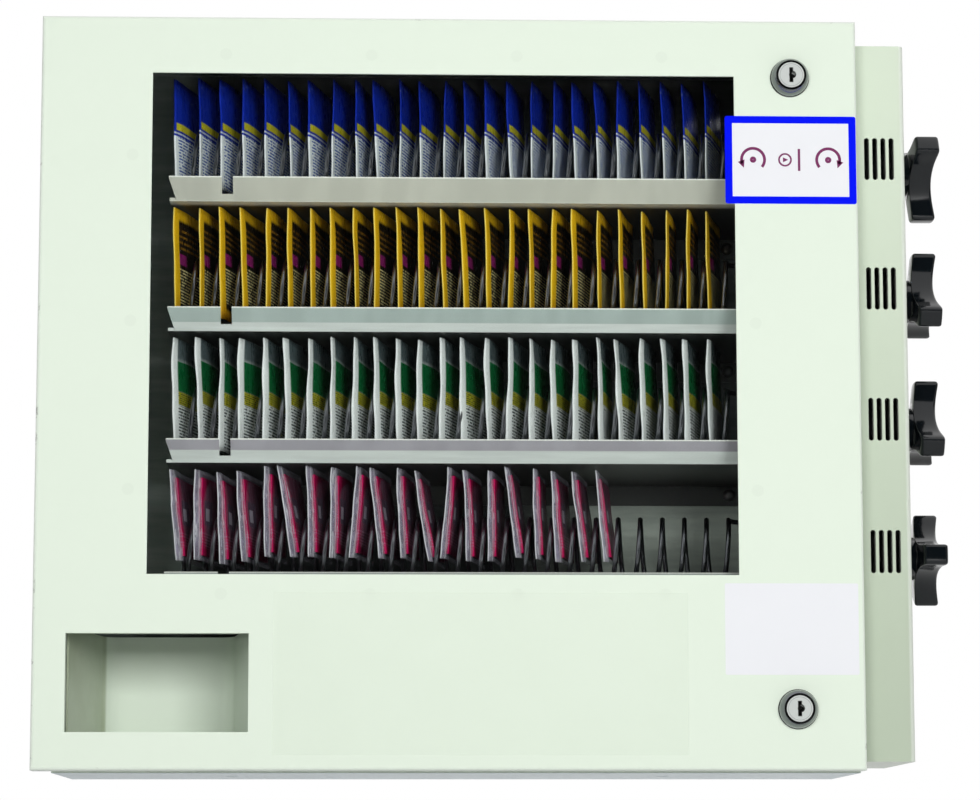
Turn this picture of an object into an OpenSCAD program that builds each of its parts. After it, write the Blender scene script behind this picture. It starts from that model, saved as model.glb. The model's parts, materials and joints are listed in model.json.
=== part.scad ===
// Restroom vending machine: a wall cabinet with a glazed, lockable door, four rows of
// packets carried by wire spirals, and a side housing with coin slots and turning knobs.
// X runs to the right, Z up, and the wall is the plane y = 0; the front faces -Y.
// The origin is the centre of the wall bolts.

/* [Door] */
// Width of the door
door_w = 508; // [480:1:540]
// Height of the door
door_h = 468; // [450:1:520]
// Depth of the door pan
door_d = 20; // [16:0.5:24]
// Outer radius of the folded door edges
door_bend = 2.5; // [2.1:0.1:4]
// Gap between the door pan and the cabinet front
door_gap = 1; // [0.5:0.1:2]
// How far the door passes the cabinet on the hinge side
hinge_overhang = 11; // [10:0.5:14]
// How far the door passes the cabinet on the lock side
lock_overhang = 1; // [0:0.5:3]

/* [Cabinet] */
// Depth of the cabinet, without the door
cabinet_d = 129; // [122:1:160]
// How far the cabinet passes the door above and below
cabinet_rise = 1; // [0.5:0.5:4]
// Thickness of the cabinet, door and housing sheet
sheet = 1.5; // [1.2:0.1:2]
// Width of the front flange that the lock cams catch
flange = 15; // [12:0.5:18]
// Width of the front flange beside the hinge
hinge_flange = 8; // [5:0.5:9]
// Wall bolt spacing across
bolt_dx = 406.4; // [380:0.1:420]
// Wall bolt spacing up
bolt_dz = 410; // [390:1:420]
// Diameter of a wall bolt hole
bolt_hole = 8; // [6:0.5:10]
// Spacing of the two holes in the floor of the cabinet
floor_hole_dx = 272; // [200:1:280]
// Diameter of a hole in the floor of the cabinet
floor_hole = 8; // [6:0.5:10]

/* [Window] */
// Left edge of the window, from the middle of the door
window_x = -185; // [-190:1:-170]
// Width of the window
window_w = 362; // [340:1:364]
// Bottom edge of the window
window_z = -115; // [-120:1:-105]
// Distance from the top of the door to the window
window_drop = 36; // [33:1:46]
// Thickness of the clear pane
pane_t = 3; // [2:0.5:4]
// Width of a pane retainer strip
retainer_w = 16; // [15:0.5:18]
// How far the pane reaches past the window edge
pane_lap = 8; // [5:0.5:9]

/* [Delivery] */
// Distance from the hinge side of the door to the delivery opening
delivery_inset = 20.5; // [19:0.5:29]
// Width of the delivery opening
delivery_w = 111; // [90:1:115]
// Distance from the bottom of the door to the delivery opening
delivery_rise = 23; // [21:0.5:29]
// Distance from the lowest tray down to the delivery opening
delivery_drop = 25.5; // [22:0.5:32]
// Depth of the folded edge round the delivery opening
delivery_hem = 6; // [3:0.5:10]
// Thickness of the bin, tray and cash box sheet
thin_sheet = 1.2; // [0.8:0.1:1.5]
// How far the bin passes the top of the delivery opening
bin_rise = 5.5; // [3:0.5:9]
// Depth of the bin
bin_d = 89; // [80:1:100]
// How far each side of the bin draws in
bin_taper = 13; // [6:0.5:16]
// Outer radius of the back corners of the bin
bin_corner = 12; // [8:0.5:16]

/* [Rows] */
// Height of the top spiral axis
first_axis_z = 151; // [148:0.5:153]
// Distance between spiral axes
row_step = 83; // [83:0.5:84]
// Distance from the wall to the spiral axes
axis_depth = 82; // [78:0.5:86]
// Left end of the spirals
coil_x = -172; // [-176:0.5:-168]
// Outer diameter of a spiral
coil_d = 52; // [48:0.5:52]
// Diameter of the spiral wire
wire_d = 3.2; // [2.5:0.1:3.4]
// Advance of a spiral in one turn
coil_pitch = 14; // [13.5:0.1:14.4]
// Turns in a spiral
coil_turns = 25; // [20:1:25]
// Height of a tray's front lip
lip_h = 13; // [8:0.5:16]
// How far the lip leans forward
lip_lean = 9; // [4:0.5:10]
// Distance from the wall to the foot of the lip
lip_foot = 117; // [114:0.5:117]
// Width of the notch in a lip
lip_notch = 7; // [4:0.5:10]
// How much shorter the foot of a lip is than its top, at the left end
lip_slant = 4; // [0:0.5:8]
// Left end of the trays
tray_x = -176; // [-180:0.5:-172]

/* [Packets] */
// Thickness of a flat packet
packet_t = 2.4; // [1.5:0.1:2.6]
// Front to back size of a flat packet
packet_w = 54; // [48:0.5:56]
// Angle of a flat packet to the row
packet_yaw = 10; // [9:0.5:13]
// Bottom edge of a flat packet, from the spiral axis
packet_low = -18; // [-18:0.5:-14]
// Top edge of all packets, from the spiral axis
packet_top = 52; // [44:0.5:53]
// Thickness of a bagged packet in the lowest row
pouch_t = 6; // [4:0.1:6.4]
// Front to back size of a bagged packet
pouch_w = 56; // [50:0.5:58]
// Angle of a bagged packet to the row
pouch_yaw = 8; // [6:0.5:9]
// Bottom edge of a bagged packet, from the spiral axis
pouch_low = -1; // [-4:0.5:2]
// Bagged packets left in the lowest row
pouch_count = 20; // [10:1:20]

/* [Coin side] */
// Width of the coin housing, out from the cabinet wall
housing_w = 34.5; // [33:0.5:40]
// Height of the coin housing
housing_h = 452; // [446:1:456]
// Gap between the housing and the wall
housing_wall_gap = 3; // [1:0.5:6]
// How far the housing front stays behind the cabinet front
housing_back = 1; // [0:0.5:3]
// Outer bend radius of the housing
housing_bend = 4; // [3:0.5:6]
// Coin slots in a row
slots_per_row = 4; // [2:1:4]
// Distance between coin slots
slot_step = 5.2; // [4.8:0.1:5.4]
// Width of a coin slot
slot_w = 3.3; // [2.6:0.1:3.6]
// Length of a coin slot
slot_l = 27; // [26:0.5:30]
// Diameter of the largest coin
coin_d = 24.3; // [20:0.1:25]
// Thickness of a coin lane in the guide and the drum
lane_w = 2.4; // [2:0.1:2.6]
// Radius of a coin drum
drum_r = 22; // [20:0.5:24]
// Diameter of a drive shaft
shaft_d = 10; // [8:0.5:12]
// Thickness of the bearing plate
bearing_t = 4; // [3:0.5:6]

/* [Knobs] */
// Radius to the tip of a knob lobe
knob_r = 31; // [28:0.5:34]
// Radius of the hollow between two lobes
knob_hollow_r = 38; // [36:0.5:39]
// Distance from the axis to the middle of a hollow
knob_hollow_x = 49; // [48:0.5:52]
// Radius of the knob hub
knob_hub_r = 12.5; // [11:0.5:14]
// Length of the hub neck
knob_neck = 8; // [6:0.5:12]
// Thickness of the lobes
knob_t = 22; // [18:0.5:24]
// How far the lobe tips lean out from the neck
knob_lean = 6; // [2:0.5:8]
// Depth of the dish in the outer face
knob_dish = 7; // [4:0.5:8]
// Gap between a knob and the housing
knob_gap = 0.8; // [0.4:0.1:2]

/* [Locks and hinge] */
// Distance from the edge of the door to the locks, across
lock_inset_x = 42; // [40:0.5:43]
// Distance from the top or bottom of the door to a lock
lock_inset_z = 37; // [35:0.5:44]
// Radius of the lock's bright ring
lock_ring_r = 12.2; // [11.5:0.1:13]
// Height of the bright ring in front of the door
lock_dome = 9; // [6:0.5:10]
// Radius of the ring's front edge
lock_face_r = 9.4; // [9:0.1:10]
// Radius of the lock body
lock_body_r = 9.5; // [9:0.1:10]
// Radius of the turning plug
plug_r = 8; // [7:0.1:8.2]
// Reach of a cam from its plug axis
cam_reach = 34; // [32:0.5:36]
// Width of a cam
cam_w = 14; // [12:0.5:16]
// Height of the hinge
hinge_h = 440; // [400:2:450]
// Knuckles along the hinge
knuckles = 9; // [5:2:13]
// Radius of a hinge knuckle
knuckle_r = 3.5; // [3.2:0.1:3.7]
// Radius of the hinge pin
pin_r = 1.6; // [1.2:0.1:1.8]
// Thickness of a hinge leaf
leaf_t = 1.5; // [1.2:0.1:1.5]

/* [Hidden] */
$fn = 48;
rows = 4;
last_row = rows - 1;
// Clearances
running_gap = 0.05;
seat_gap = 0.3;
free_gap = 0.4;
eps = 0.5;

// Planes of the door and cabinet
door_x0 = -door_w / 2;
door_x1 = door_w / 2;
cabinet_x0 = door_x0 + hinge_overhang;
cabinet_x1 = door_x1 - lock_overhang;
cabinet_z1 = door_h / 2 + cabinet_rise;
cabinet_z0 = -cabinet_z1;
floor_z = cabinet_z0 + sheet;
cabinet_y = -cabinet_d;
door_back_y = cabinet_y - door_gap;
door_y = door_back_y - door_d;
skin_y = door_y + sheet;

// Window and delivery edges
window_x1 = window_x + window_w;
window_z1 = door_h / 2 - window_drop;
window_h = window_z1 - window_z;
delivery_x = door_x0 + delivery_inset;
delivery_x1 = delivery_x + delivery_w;
delivery_z = -door_h / 2 + delivery_rise;
pane_back_y = skin_y + pane_t;
stud_r = 2;
stud_over = 6;
stud_l = pane_t + stud_over;
stud_room = 2;
stud_out = pane_lap + stud_r + stud_room;
retainer_in = retainer_w - stud_out - stud_r - 2 * stud_room;
nut_h = 3;
nut_r = 4.2;
stud_count_x = 4;
stud_count_z = 3;

// Bin
bin_y0 = cabinet_y + sheet;
bin_y1 = bin_y0 + bin_d;
bin_step = 1;

// Rows
axis_y = -axis_depth;
coil_r = coil_d / 2;
wire_r = wire_d / 2;
turn_r = coil_r - wire_r;
tray_floor = -coil_r - seat_gap;
tray_back_h = 14;
tray_screw_r = 4;
tray_screw_h = 2.4;
tray_screw_ball = 5;
tray_screw_dx = 305;
coil_bend = 2 * wire_d;
bearing_half = 30;
bearing_end = 24;
bearing_x = cabinet_x1 - sheet - bearing_t;
tray_gap = 2;
tray_x1 = bearing_x - tray_gap;
lip_notch_in = 33;
lip_notch_x = tray_x + lip_notch_in;
lip_notch_h = 10;
hub_t = 5;
hub_neck_share = 0.364;
hub_wall = 4;
hub_neck_r = shaft_d / 2 + hub_wall;
packet_shift = 0.5;
pouch_shift = 1.1;
function axis_z(i) = first_axis_z - i * row_step;
delivery_z1 = axis_z(last_row) + tray_floor - thin_sheet - delivery_drop;
bin_top = delivery_z1 + bin_rise;

// Coin side
housing_x0 = cabinet_x1;
housing_x1 = housing_x0 + housing_w;
housing_y0 = cabinet_y + housing_back;
housing_y1 = -housing_wall_gap;
housing_drop = 2;
housing_lip = 14;
housing_z1 = housing_h / 2 - housing_drop;
housing_z0 = housing_z1 - housing_h;
slot_off = 0.7;
slot_x = housing_x0 + housing_w / 2 + slot_off;
guide_wall = 3;
guide_w = (slots_per_row - 1) * slot_step + lane_w + 2 * guide_wall;
guide_end = 4;
guide_gap = 4.5;
guide_d = axis_y - drum_r - guide_gap - housing_y0 - sheet;
drum_w = guide_w;
pocket_in = 3;
bush_wall = 3;
bush_r = shaft_d / 2 + bush_wall;
bush_flange_r = bush_r + bush_wall;
bush_flange_t = 2;
shaft_r = shaft_d / 2;
shaft_room = 2.5;
shaft_pass_r = shaft_r + shaft_room;
knob_x0 = housing_x1 + knob_gap;
knob_x1 = knob_x0 + knob_neck + knob_t;
lobe_x = knob_x0 + knob_neck;
knob_end = knob_x1 - knob_dish;
dish_r = (knob_r * knob_r + knob_dish * knob_dish) / (2 * knob_dish);
knob_wall = 5;
// Rest angle of one lobe of each knob, from straight up towards the wall
knob_turns = [180, 0, 0, 270];

// Coin chute and cash box
chute_half = 30;
chute_gap = 1;
chute_in_x = housing_x1 - sheet - chute_gap;
chute_under_drum = 9;
chute_reach = 36;
chute_tab = 18;
chute_in_z = axis_z(last_row) - drum_r - chute_under_drum;
chute_out_x = cabinet_x1 - chute_reach;
chute_slope = 0.48;
chute_side = 12;
cash_w = 153;
cash_side = 25;
cash_front = 12;
cash_d = 85;
cash_x1 = cabinet_x1 - cash_side;
cash_x0 = cash_x1 - cash_w;
cash_y0 = cabinet_y + cash_front;
cash_y1 = cash_y0 + cash_d;
cash_gap = 5.2;

// Locks and hinge
lock_x = door_x1 - lock_inset_x;
lock_z = door_h / 2 - lock_inset_z;
lock_rim = 1;
lock_step = 0.4;
plug_proud = 0.4;
key_w = 2;
key_h = 8.5;
key_round_r = 1.8;
key_round_z = 0.8;
key_depth = 6;
cam_gap = 1;
lock_rear_y = cabinet_y + sheet + free_gap;
cam_t = 2;
cam_y = cabinet_y + sheet + cam_gap;
plug_stud_r = 3.5;
plug_stud_end = 3;
lock_nut_r = 12;
lock_nut_t = 4;
hinge_x = door_x0 + sheet + leaf_t / 2 + knuckle_r;
hinge_y = cabinet_y + knuckle_r;
leaf_w = 22;

function chute_z(x) = chute_in_z - (chute_in_x - x) * chute_slope;
cash_top = chute_z(chute_out_x) - thin_sheet - cash_gap;

// The spiral wire, unrolled on its cylinder: arc length along the turn, and x
coil_rings = 8;
wire_sides = 5;
bend_rings = 3;
helix_rings = coil_turns * coil_rings;
lead_angle = atan(coil_pitch / (2 * PI * turn_r));
helix_end_x = coil_x + coil_turns * coil_pitch;
hub_x = helix_end_x + coil_bend * cos(lead_angle) + wire_d;
// The hub neck takes this share of the room up to the bearing plate
hub_neck = hub_neck_share * (bearing_x - hub_x - hub_t);
function bend_angle(j) = lead_angle + (90 - lead_angle) * j / bend_rings;
function along(k) =
    k <= helix_rings ? 2 * PI * turn_r * k / coil_rings
    : along(helix_rings) + coil_bend * (sin(bend_angle(min(k - helix_rings, bend_rings))) - sin(lead_angle));
function wire_x(k) =
    k <= helix_rings ? coil_x + coil_pitch * k / coil_rings
    : k <= helix_rings + bend_rings
    ? helix_end_x + coil_bend * (cos(lead_angle) - cos(bend_angle(k - helix_rings)))
    : hub_x;
function heading(k) = k <= helix_rings ? lead_angle : bend_angle(min(k - helix_rings, bend_rings));
function turn_angle(k) = along(k) / turn_r * 180 / PI;
wire_rings = helix_rings + bend_rings + 1;
function wire_point(k) = [wire_x(k), turn_r * sin(turn_angle(k)), turn_r * cos(turn_angle(k))];
wire_path = [for (k = [0 : wire_rings]) wire_point(k)];
// Least gap between turns: each point against those from half a turn to a turn and a half on
wire_gap = min([for (k = [0 : wire_rings]) for (m = [k + coil_rings / 2 : min(wire_rings, k + 1.5 * coil_rings)])
    norm(wire_path[m] - wire_path[k])]) - wire_d;
echo("Least gap between spiral turns, mm", wire_gap);

cream = [0.87, 0.86, 0.76];
steel = [0.62, 0.63, 0.64];

// Box between two corners
module block(x, y, z) {
    translate([x[0], y[0], z[0]]) cube([x[1] - x[0], y[1] - y[0], z[1] - z[0]]);
}

// Round bars along X and Y
module rod_x(r, x0, x1) {
    translate([x0, 0, 0]) rotate([0, 90, 0]) cylinder(r = r, h = x1 - x0);
}

module rod_y(r, y0, y1) {
    translate([0, y0, 0]) rotate([-90, 0, 0]) cylinder(r = r, h = y1 - y0);
}

// Section in the Y-Z plane carried along X
module along_x(x0, x1) {
    translate([x0, 0, 0]) rotate([90, 0, 90]) linear_extrude(x1 - x0) children();
}

module at_axis(i) {
    translate([0, axis_y, axis_z(i)]) children();
}

module cabinet_shell() {
    color(cream) difference() {
        block([cabinet_x0, cabinet_x1], [cabinet_y, 0], [cabinet_z0, cabinet_z1]);
        block([cabinet_x0 + sheet, cabinet_x1 - sheet], [cabinet_y - eps, -sheet], [floor_z, -floor_z]);
        for (x = [-1, 1], z = [-1, 1])
            translate([x * bolt_dx / 2, 0, z * bolt_dz / 2]) rod_y(bolt_hole / 2, -sheet - eps, eps);
        for (x = [-1, 1])
            translate([x * floor_hole_dx / 2, cabinet_y / 2, cabinet_z0 - eps])
                cylinder(d = floor_hole, h = sheet + 2 * eps);
        for (i = [0 : last_row])
            at_axis(i) rod_x(shaft_pass_r, cabinet_x1 - sheet - eps, cabinet_x1 + eps);
        block([cabinet_x1 - sheet - eps, cabinet_x1 + eps],
            [axis_y - chute_half - free_gap, axis_y + chute_half + free_gap],
            [chute_z(cabinet_x1 - sheet) - thin_sheet - chute_gap, chute_z(cabinet_x1) + chute_side + 2 * chute_gap]);
    }
}

// Flat frame welded in the front of the cabinet; the lock cams catch behind it
module front_frame() {
    y = [cabinet_y, cabinet_y + sheet];
    color(cream) difference() {
        block([cabinet_x0 + sheet, cabinet_x1 - sheet], y, [floor_z, -floor_z]);
        block([cabinet_x0 + hinge_flange, cabinet_x1 - flange], y + [-eps, eps],
            [cabinet_z0 + flange, cabinet_z1 - flange]);
    }
}

module bearing_plate() {
    color(steel) difference() {
        block([bearing_x, cabinet_x1 - sheet], [axis_y - bearing_half, axis_y + bearing_half],
            [axis_z(last_row) - bearing_end, axis_z(0) + bearing_end]);
        for (i = [0 : last_row])
            at_axis(i) rod_x(shaft_r + running_gap, bearing_x - eps, cabinet_x1);
    }
}

// Rectangle from the origin with its two corners nearest the front bent round
module bent_outline(w, d, bend) {
    translate([0, bend]) square([w, d - bend]);
    translate([bend, 0]) square([w - 2 * bend, bend]);
    for (x = [bend, w - bend]) translate([x, bend]) circle(bend);
}

// Outline of the coin housing, from above
module housing_outline(inset, bend) {
    translate([housing_x0 + inset, housing_y0 + inset])
        bent_outline(housing_w - 2 * inset, housing_y1 - housing_y0 - 2 * inset, bend);
}

module coin_slot() {
    straight = slot_l / 2 - slot_w / 2;
    block([-slot_w / 2, slot_w / 2], [housing_y0 - eps, housing_y0 + sheet + eps], [-straight, straight]);
    for (z = [-straight, straight])
        translate([0, 0, z]) rod_y(slot_w / 2, housing_y0 - eps, housing_y0 + sheet + eps);
}

function lane_x(s) = slot_x + (s - (slots_per_row - 1) / 2) * slot_step;

module coin_housing() {
    color(cream) difference() {
        translate([0, 0, housing_z0]) linear_extrude(housing_h) housing_outline(0, housing_bend);
        translate([0, 0, housing_z0 + sheet])
            linear_extrude(housing_h - 2 * sheet) housing_outline(sheet, housing_bend - sheet);
        block([housing_x0 - eps, housing_x0 + sheet + eps],
            [min(housing_y0 + housing_lip, axis_y - chute_half - free_gap), housing_y1 - housing_lip],
            [housing_z0 + sheet, housing_z1 - sheet]);
        for (i = [0 : last_row]) {
            for (s = [0 : slots_per_row - 1]) translate([lane_x(s), 0, axis_z(i)]) coin_slot();
            at_axis(i) rod_x(bush_r + running_gap, housing_x1 - sheet - eps, housing_x1 + eps);
        }
    }
}

module shaft_bushes() {
    color("goldenrod") for (i = [0 : last_row])
        at_axis(i) difference() {
            union() {
                rod_x(bush_r, housing_x1 - sheet, housing_x1);
                rod_x(bush_flange_r, housing_x1 - sheet - bush_flange_t, housing_x1 - sheet);
            }
            rod_x(shaft_r + running_gap, housing_x1 - sheet - bush_flange_t - eps, housing_x1 + eps);
        }
}

// Sloped trough that takes the coins through the cabinet wall to the cash box
module chute_section(low, high) {
    rotate([90, 0, 0]) linear_extrude(2 * chute_half, center = true)
        polygon([[chute_out_x, chute_z(chute_out_x) + low], [chute_in_x, chute_in_z + low],
            [chute_in_x, chute_in_z + high], [chute_out_x, chute_z(chute_out_x) + high]]);
}

module coin_chute() {
    color(steel) {
        translate([0, axis_y, 0]) difference() {
            chute_section(-thin_sheet, chute_side);
            intersection() {
                chute_section(0, chute_side + eps);
                block([chute_out_x - eps, chute_in_x + eps],
                    [-chute_half + thin_sheet, chute_half - thin_sheet],
                    [chute_z(chute_out_x) - chute_side, chute_in_z + 2 * chute_side]);
            }
        }
        block([cabinet_x1, cabinet_x1 + thin_sheet], [axis_y - chute_half, axis_y + chute_half],
            [chute_z(cabinet_x1) - chute_tab, chute_z(cabinet_x1) - thin_sheet / 2]);
    }
}

module cash_box() {
    t = thin_sheet;
    color(steel) difference() {
        block([cash_x0, cash_x1], [cash_y0, cash_y1], [floor_z, cash_top]);
        block([cash_x0 + t, cash_x1 - t], [cash_y0 + t, cash_y1 - t], [floor_z + t, cash_top + eps]);
    }
}

// Plan of the bin: sides that draw in towards the wall, and round back corners
module bin_plan(inset) {
    half = delivery_w / 2 + thin_sheet - inset;
    back_half = half - bin_taper;
    r = bin_corner - inset;
    front = bin_y0 - (inset > 0 ? eps : 0);
    translate([delivery_x + delivery_w / 2, 0]) {
        polygon([[-half, front], [half, front], [back_half, bin_y1 - bin_corner], [-back_half, bin_y1 - bin_corner]]);
        translate([-back_half + r, bin_y1 - bin_corner - eps]) square([2 * (back_half - r), bin_corner + eps - inset]);
        for (x = [-1, 1]) translate([x * (back_half - r), bin_y1 - bin_corner]) circle(r);
    }
}

module delivery_bin() {
    color(cream) difference() {
        translate([0, 0, floor_z]) linear_extrude(bin_top - floor_z) bin_plan(0);
        translate([0, 0, delivery_z - bin_step]) linear_extrude(bin_top - delivery_z + bin_step + eps)
            bin_plan(thin_sheet);
        translate([0, 0, floor_z - eps]) linear_extrude(delivery_z - bin_step - thin_sheet - floor_z + eps)
            bin_plan(thin_sheet);
    }
}

// Tray section: back flange turned down, floor and leaning front lip
module tray_section() {
    t = thin_sheet;
    foot = -lip_foot - axis_y;
    back = -sheet - axis_y;
    polygon([[foot, tray_floor - t], [back - t, tray_floor - t], [back - t, tray_floor - tray_back_h],
        [back, tray_floor - tray_back_h], [back, tray_floor], [foot + t / 2, tray_floor],
        [foot - lip_lean + t, tray_floor + lip_h], [foot - lip_lean, tray_floor + lip_h]]);
}

module tray(i) {
    color("gainsboro") at_axis(i) difference() {
        along_x(tray_x, tray_x1) tray_section();
        block([lip_notch_x, lip_notch_x + lip_notch], [-lip_foot - lip_lean - axis_y - eps, -lip_foot - axis_y + lip_notch / 2],
            [tray_floor + lip_h - lip_notch_h, tray_floor + lip_h + eps]);
        translate([tray_x, -lip_foot - axis_y, tray_floor]) rotate([90, 0, 0]) linear_extrude(lip_lean + eps)
            polygon([[-eps, lip_h], [-eps, -thin_sheet - eps], [lip_slant, -thin_sheet - eps], [lip_slant, 0]]);
    }
}

// Round-headed screws that hold the tray flanges to the back of the cabinet
module tray_screws() {
    color(steel) for (i = [0 : last_row], x = [-0.5, 0.5])
        at_axis(i) translate([(tray_x + tray_x1) / 2 + x * tray_screw_dx, -sheet - thin_sheet - axis_y,
            tray_floor - tray_back_h / 2])
            intersection() {
                rod_y(tray_screw_r, -tray_screw_h, 0);
                translate([0, tray_screw_h, 0]) sphere(tray_screw_ball);
            }
}

// Edge of the turned wire, swept ring by ring along its path
module spiral_coil(i) {
    points = [for (k = [0 : wire_rings]) for (s = [0 : wire_sides - 1])
        let (a = 360 * s / wire_sides, f = turn_angle(k), h = heading(k),
            out = [0, sin(f), cos(f)], side = [-cos(h), sin(h) * cos(f), -sin(h) * sin(f)])
        wire_path[k] + wire_r * (cos(a) * out + sin(a) * side)];
    skin = [for (k = [0 : wire_rings - 1]) for (s = [0 : wire_sides - 1])
        let (a = k * wire_sides + s, b = k * wire_sides + (s + 1) % wire_sides, c = a + wire_sides, d = b + wire_sides)
        for (face = [[a, c, b], [b, c, d]]) face];
    last = wire_rings * wire_sides;
    ends = [for (s = [1 : wire_sides - 2]) for (face = [[0, s, s + 1], [last, last + s + 1, last + s]]) face];
    color(steel) at_axis(i) polyhedron(points, concat(skin, ends));
}

module coil_hub(i) {
    color([0.2, 0.2, 0.21]) at_axis(i) difference() {
        union() {
            rod_x(coil_r, hub_x, hub_x + hub_t);
            rod_x(hub_neck_r, hub_x + hub_t, hub_x + hub_t + hub_neck);
        }
        rod_x(shaft_r + running_gap, hub_x - eps, hub_x + hub_t + hub_neck + eps);
    }
}

module drive_shaft(i) {
    color(steel) at_axis(i) rod_x(shaft_r, hub_x, knob_end - knob_wall - seat_gap);
}

// Drum with one round pocket per coin, open to the guide
module coin_drum(i) {
    pocket_r = coin_d / 2 + free_gap;
    color([0.78, 0.77, 0.7]) at_axis(i) difference() {
        rod_x(drum_r, slot_x - drum_w / 2, slot_x + drum_w / 2);
        rod_x(shaft_r + running_gap, slot_x - drum_w, slot_x + drum_w);
        for (s = [0 : slots_per_row - 1])
            translate([0, -drum_r + pocket_in, 0]) rod_x(pocket_r, lane_x(s) - lane_w / 2, lane_x(s) + lane_w / 2);
    }
}

// Guide behind the slots: one lane per slot, fixed to the inside of the housing front
module coin_guide(i) {
    front = housing_y0 + sheet;
    color([0.3, 0.31, 0.33]) translate([0, 0, axis_z(i)]) difference() {
        block([slot_x - guide_w / 2, slot_x + guide_w / 2], [front, front + guide_d],
            [-slot_l / 2 - guide_end, slot_l / 2 + guide_end]);
        for (s = [0 : slots_per_row - 1])
            block([lane_x(s) - lane_w / 2, lane_x(s) + lane_w / 2], [front - eps, front + guide_d + eps],
                [-slot_l / 2, slot_l / 2]);
    }
}

// Three-lobed knob: a disc with three round hollows, on a hub that covers the shaft
module knob(i) {
    color([0.05, 0.05, 0.05]) at_axis(i) rotate([-knob_turns[i], 0, 0]) difference() {
        union() {
            rod_x(knob_hub_r, knob_x0, knob_end);
            difference() {
                rod_x(knob_r, lobe_x, knob_x1);
                for (a = [60, 180, 300])
                    rotate([a, 0, 0]) translate([0, 0, knob_hollow_x])
                        rod_x(knob_hollow_r, lobe_x - eps, knob_x1 + eps);
                // Back of the lobes: a cone ring from the neck out to the tips
                difference() {
                    rod_x(knob_r + eps, lobe_x - eps, lobe_x + knob_lean);
                    translate([lobe_x, 0, 0]) rotate([0, 90, 0])
                        cylinder(r1 = knob_hub_r, r2 = knob_r, h = knob_lean);
                    rod_x(knob_hub_r, lobe_x - 2 * eps, lobe_x);
                }
            }
        }
        translate([knob_end + dish_r, 0, 0]) sphere(dish_r, $fn = 96);
        rod_x(shaft_r + running_gap, knob_x0 - eps, knob_end - knob_wall);
    }
}

module packet_row(i, count, t, w, yaw, low, shift) {
    at_axis(i) for (k = [0 : count - 1])
        translate([coil_x + (k + 0.5) * coil_pitch + shift, 0, low]) rotate([0, 0, -yaw])
            translate([-t / 2, -w / 2, 0]) cube([t, w, packet_top - low]);
}

module packets(i) {
    tint = [[0.25, 0.4, 0.75], [0.95, 0.75, 0.15], [0.85, 0.88, 0.85], [0.8, 0.25, 0.45]];
    color(tint[i])
        if (i < last_row) packet_row(i, coil_turns, packet_t, packet_w, packet_yaw, packet_low, packet_shift);
        else packet_row(i, pouch_count, pouch_t, pouch_w, pouch_yaw, pouch_low, pouch_shift);
}

// Places of the weld studs round the window
stud_places = concat(
    [for (k = [0 : stud_count_x - 1]) for (z = [window_z - stud_out, window_z1 + stud_out])
        [window_x + window_w * (k + 0.5) / stud_count_x, z]],
    [for (k = [0 : stud_count_z - 1]) for (x = [window_x - stud_out, window_x1 + stud_out])
        [x, window_z + window_h * (k + 0.5) / stud_count_z]]);

module at_studs() {
    for (p = stud_places) translate([p[0], 0, p[1]]) children();
}

module at_lock(side) {
    translate([lock_x, 0, side * lock_z]) children();
}

// Solid of the door pan, folded round on all four front edges
module pan_solid(inset, bend, depth) {
    w = door_w - 2 * inset;
    h = door_h - 2 * inset;
    intersection() {
        translate([-w / 2, door_y + inset, -h / 2]) linear_extrude(h) bent_outline(w, depth, bend);
        translate([w / 2, door_y + inset, -h / 2]) rotate([0, -90, 0]) linear_extrude(w) bent_outline(h, depth, bend);
    }
}

module door_pan() {
    color(cream) difference() {
        pan_solid(0, door_bend, door_d);
        pan_solid(sheet, door_bend - sheet, door_d);
        block([window_x, window_x1], [door_y - eps, skin_y + eps], [window_z, window_z1]);
        block([delivery_x, delivery_x1], [door_y - eps, skin_y + eps], [delivery_z, delivery_z1]);
        for (side = [-1, 1]) at_lock(side) rod_y(lock_body_r + running_gap, door_y - eps, skin_y + eps);
    }
}

// Frame welded behind the delivery opening, flush with its edges
module delivery_frame() {
    color(cream) difference() {
        block([delivery_x - sheet, delivery_x1 + sheet], [skin_y, skin_y + delivery_hem],
            [delivery_z - sheet, delivery_z1 + sheet]);
        block([delivery_x, delivery_x1], [skin_y - eps, skin_y + delivery_hem + eps], [delivery_z, delivery_z1]);
    }
}

module window_studs() {
    color(steel) at_studs() rod_y(stud_r, skin_y, skin_y + stud_l);
}

module window_pane() {
    color([0.8, 0.88, 0.9, 0.35])
        block([window_x - pane_lap, window_x1 + pane_lap], [skin_y, pane_back_y],
            [window_z - pane_lap, window_z1 + pane_lap]);
}

// Four flat strips that hold the pane; the side strips fit between the other two
module window_retainers() {
    out = retainer_w - retainer_in;
    y = [pane_back_y, pane_back_y + sheet];
    color(steel) difference() {
        union() {
            for (z = [window_z - out, window_z1 - retainer_in])
                block([window_x - out, window_x1 + out], y, [z, z + retainer_w]);
            for (x = [window_x - out, window_x1 - retainer_in])
                block([x, x + retainer_w], y, [window_z + retainer_in + free_gap, window_z1 - retainer_in - free_gap]);
        }
        at_studs() rod_y(stud_r + seat_gap, pane_back_y - eps, pane_back_y + sheet + eps);
    }
}

module retainer_nuts() {
    y = pane_back_y + sheet;
    color(steel) at_studs() difference() {
        translate([0, y, 0]) rotate([-90, 0, 0]) cylinder(r = nut_r, h = nut_h, $fn = 6);
        rod_y(stud_r + running_gap, y - eps, y + nut_h + eps);
    }
}

knuckle_l = hinge_h / knuckles;

// Every other knuckle of the hinge, starting from the first or the second
module knuckle_row(first) {
    for (k = [first : 2 : knuckles - 1])
        translate([hinge_x, hinge_y, -hinge_h / 2 + k * knuckle_l + free_gap / 2])
            cylinder(r = knuckle_r, h = knuckle_l - free_gap);
}

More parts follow.
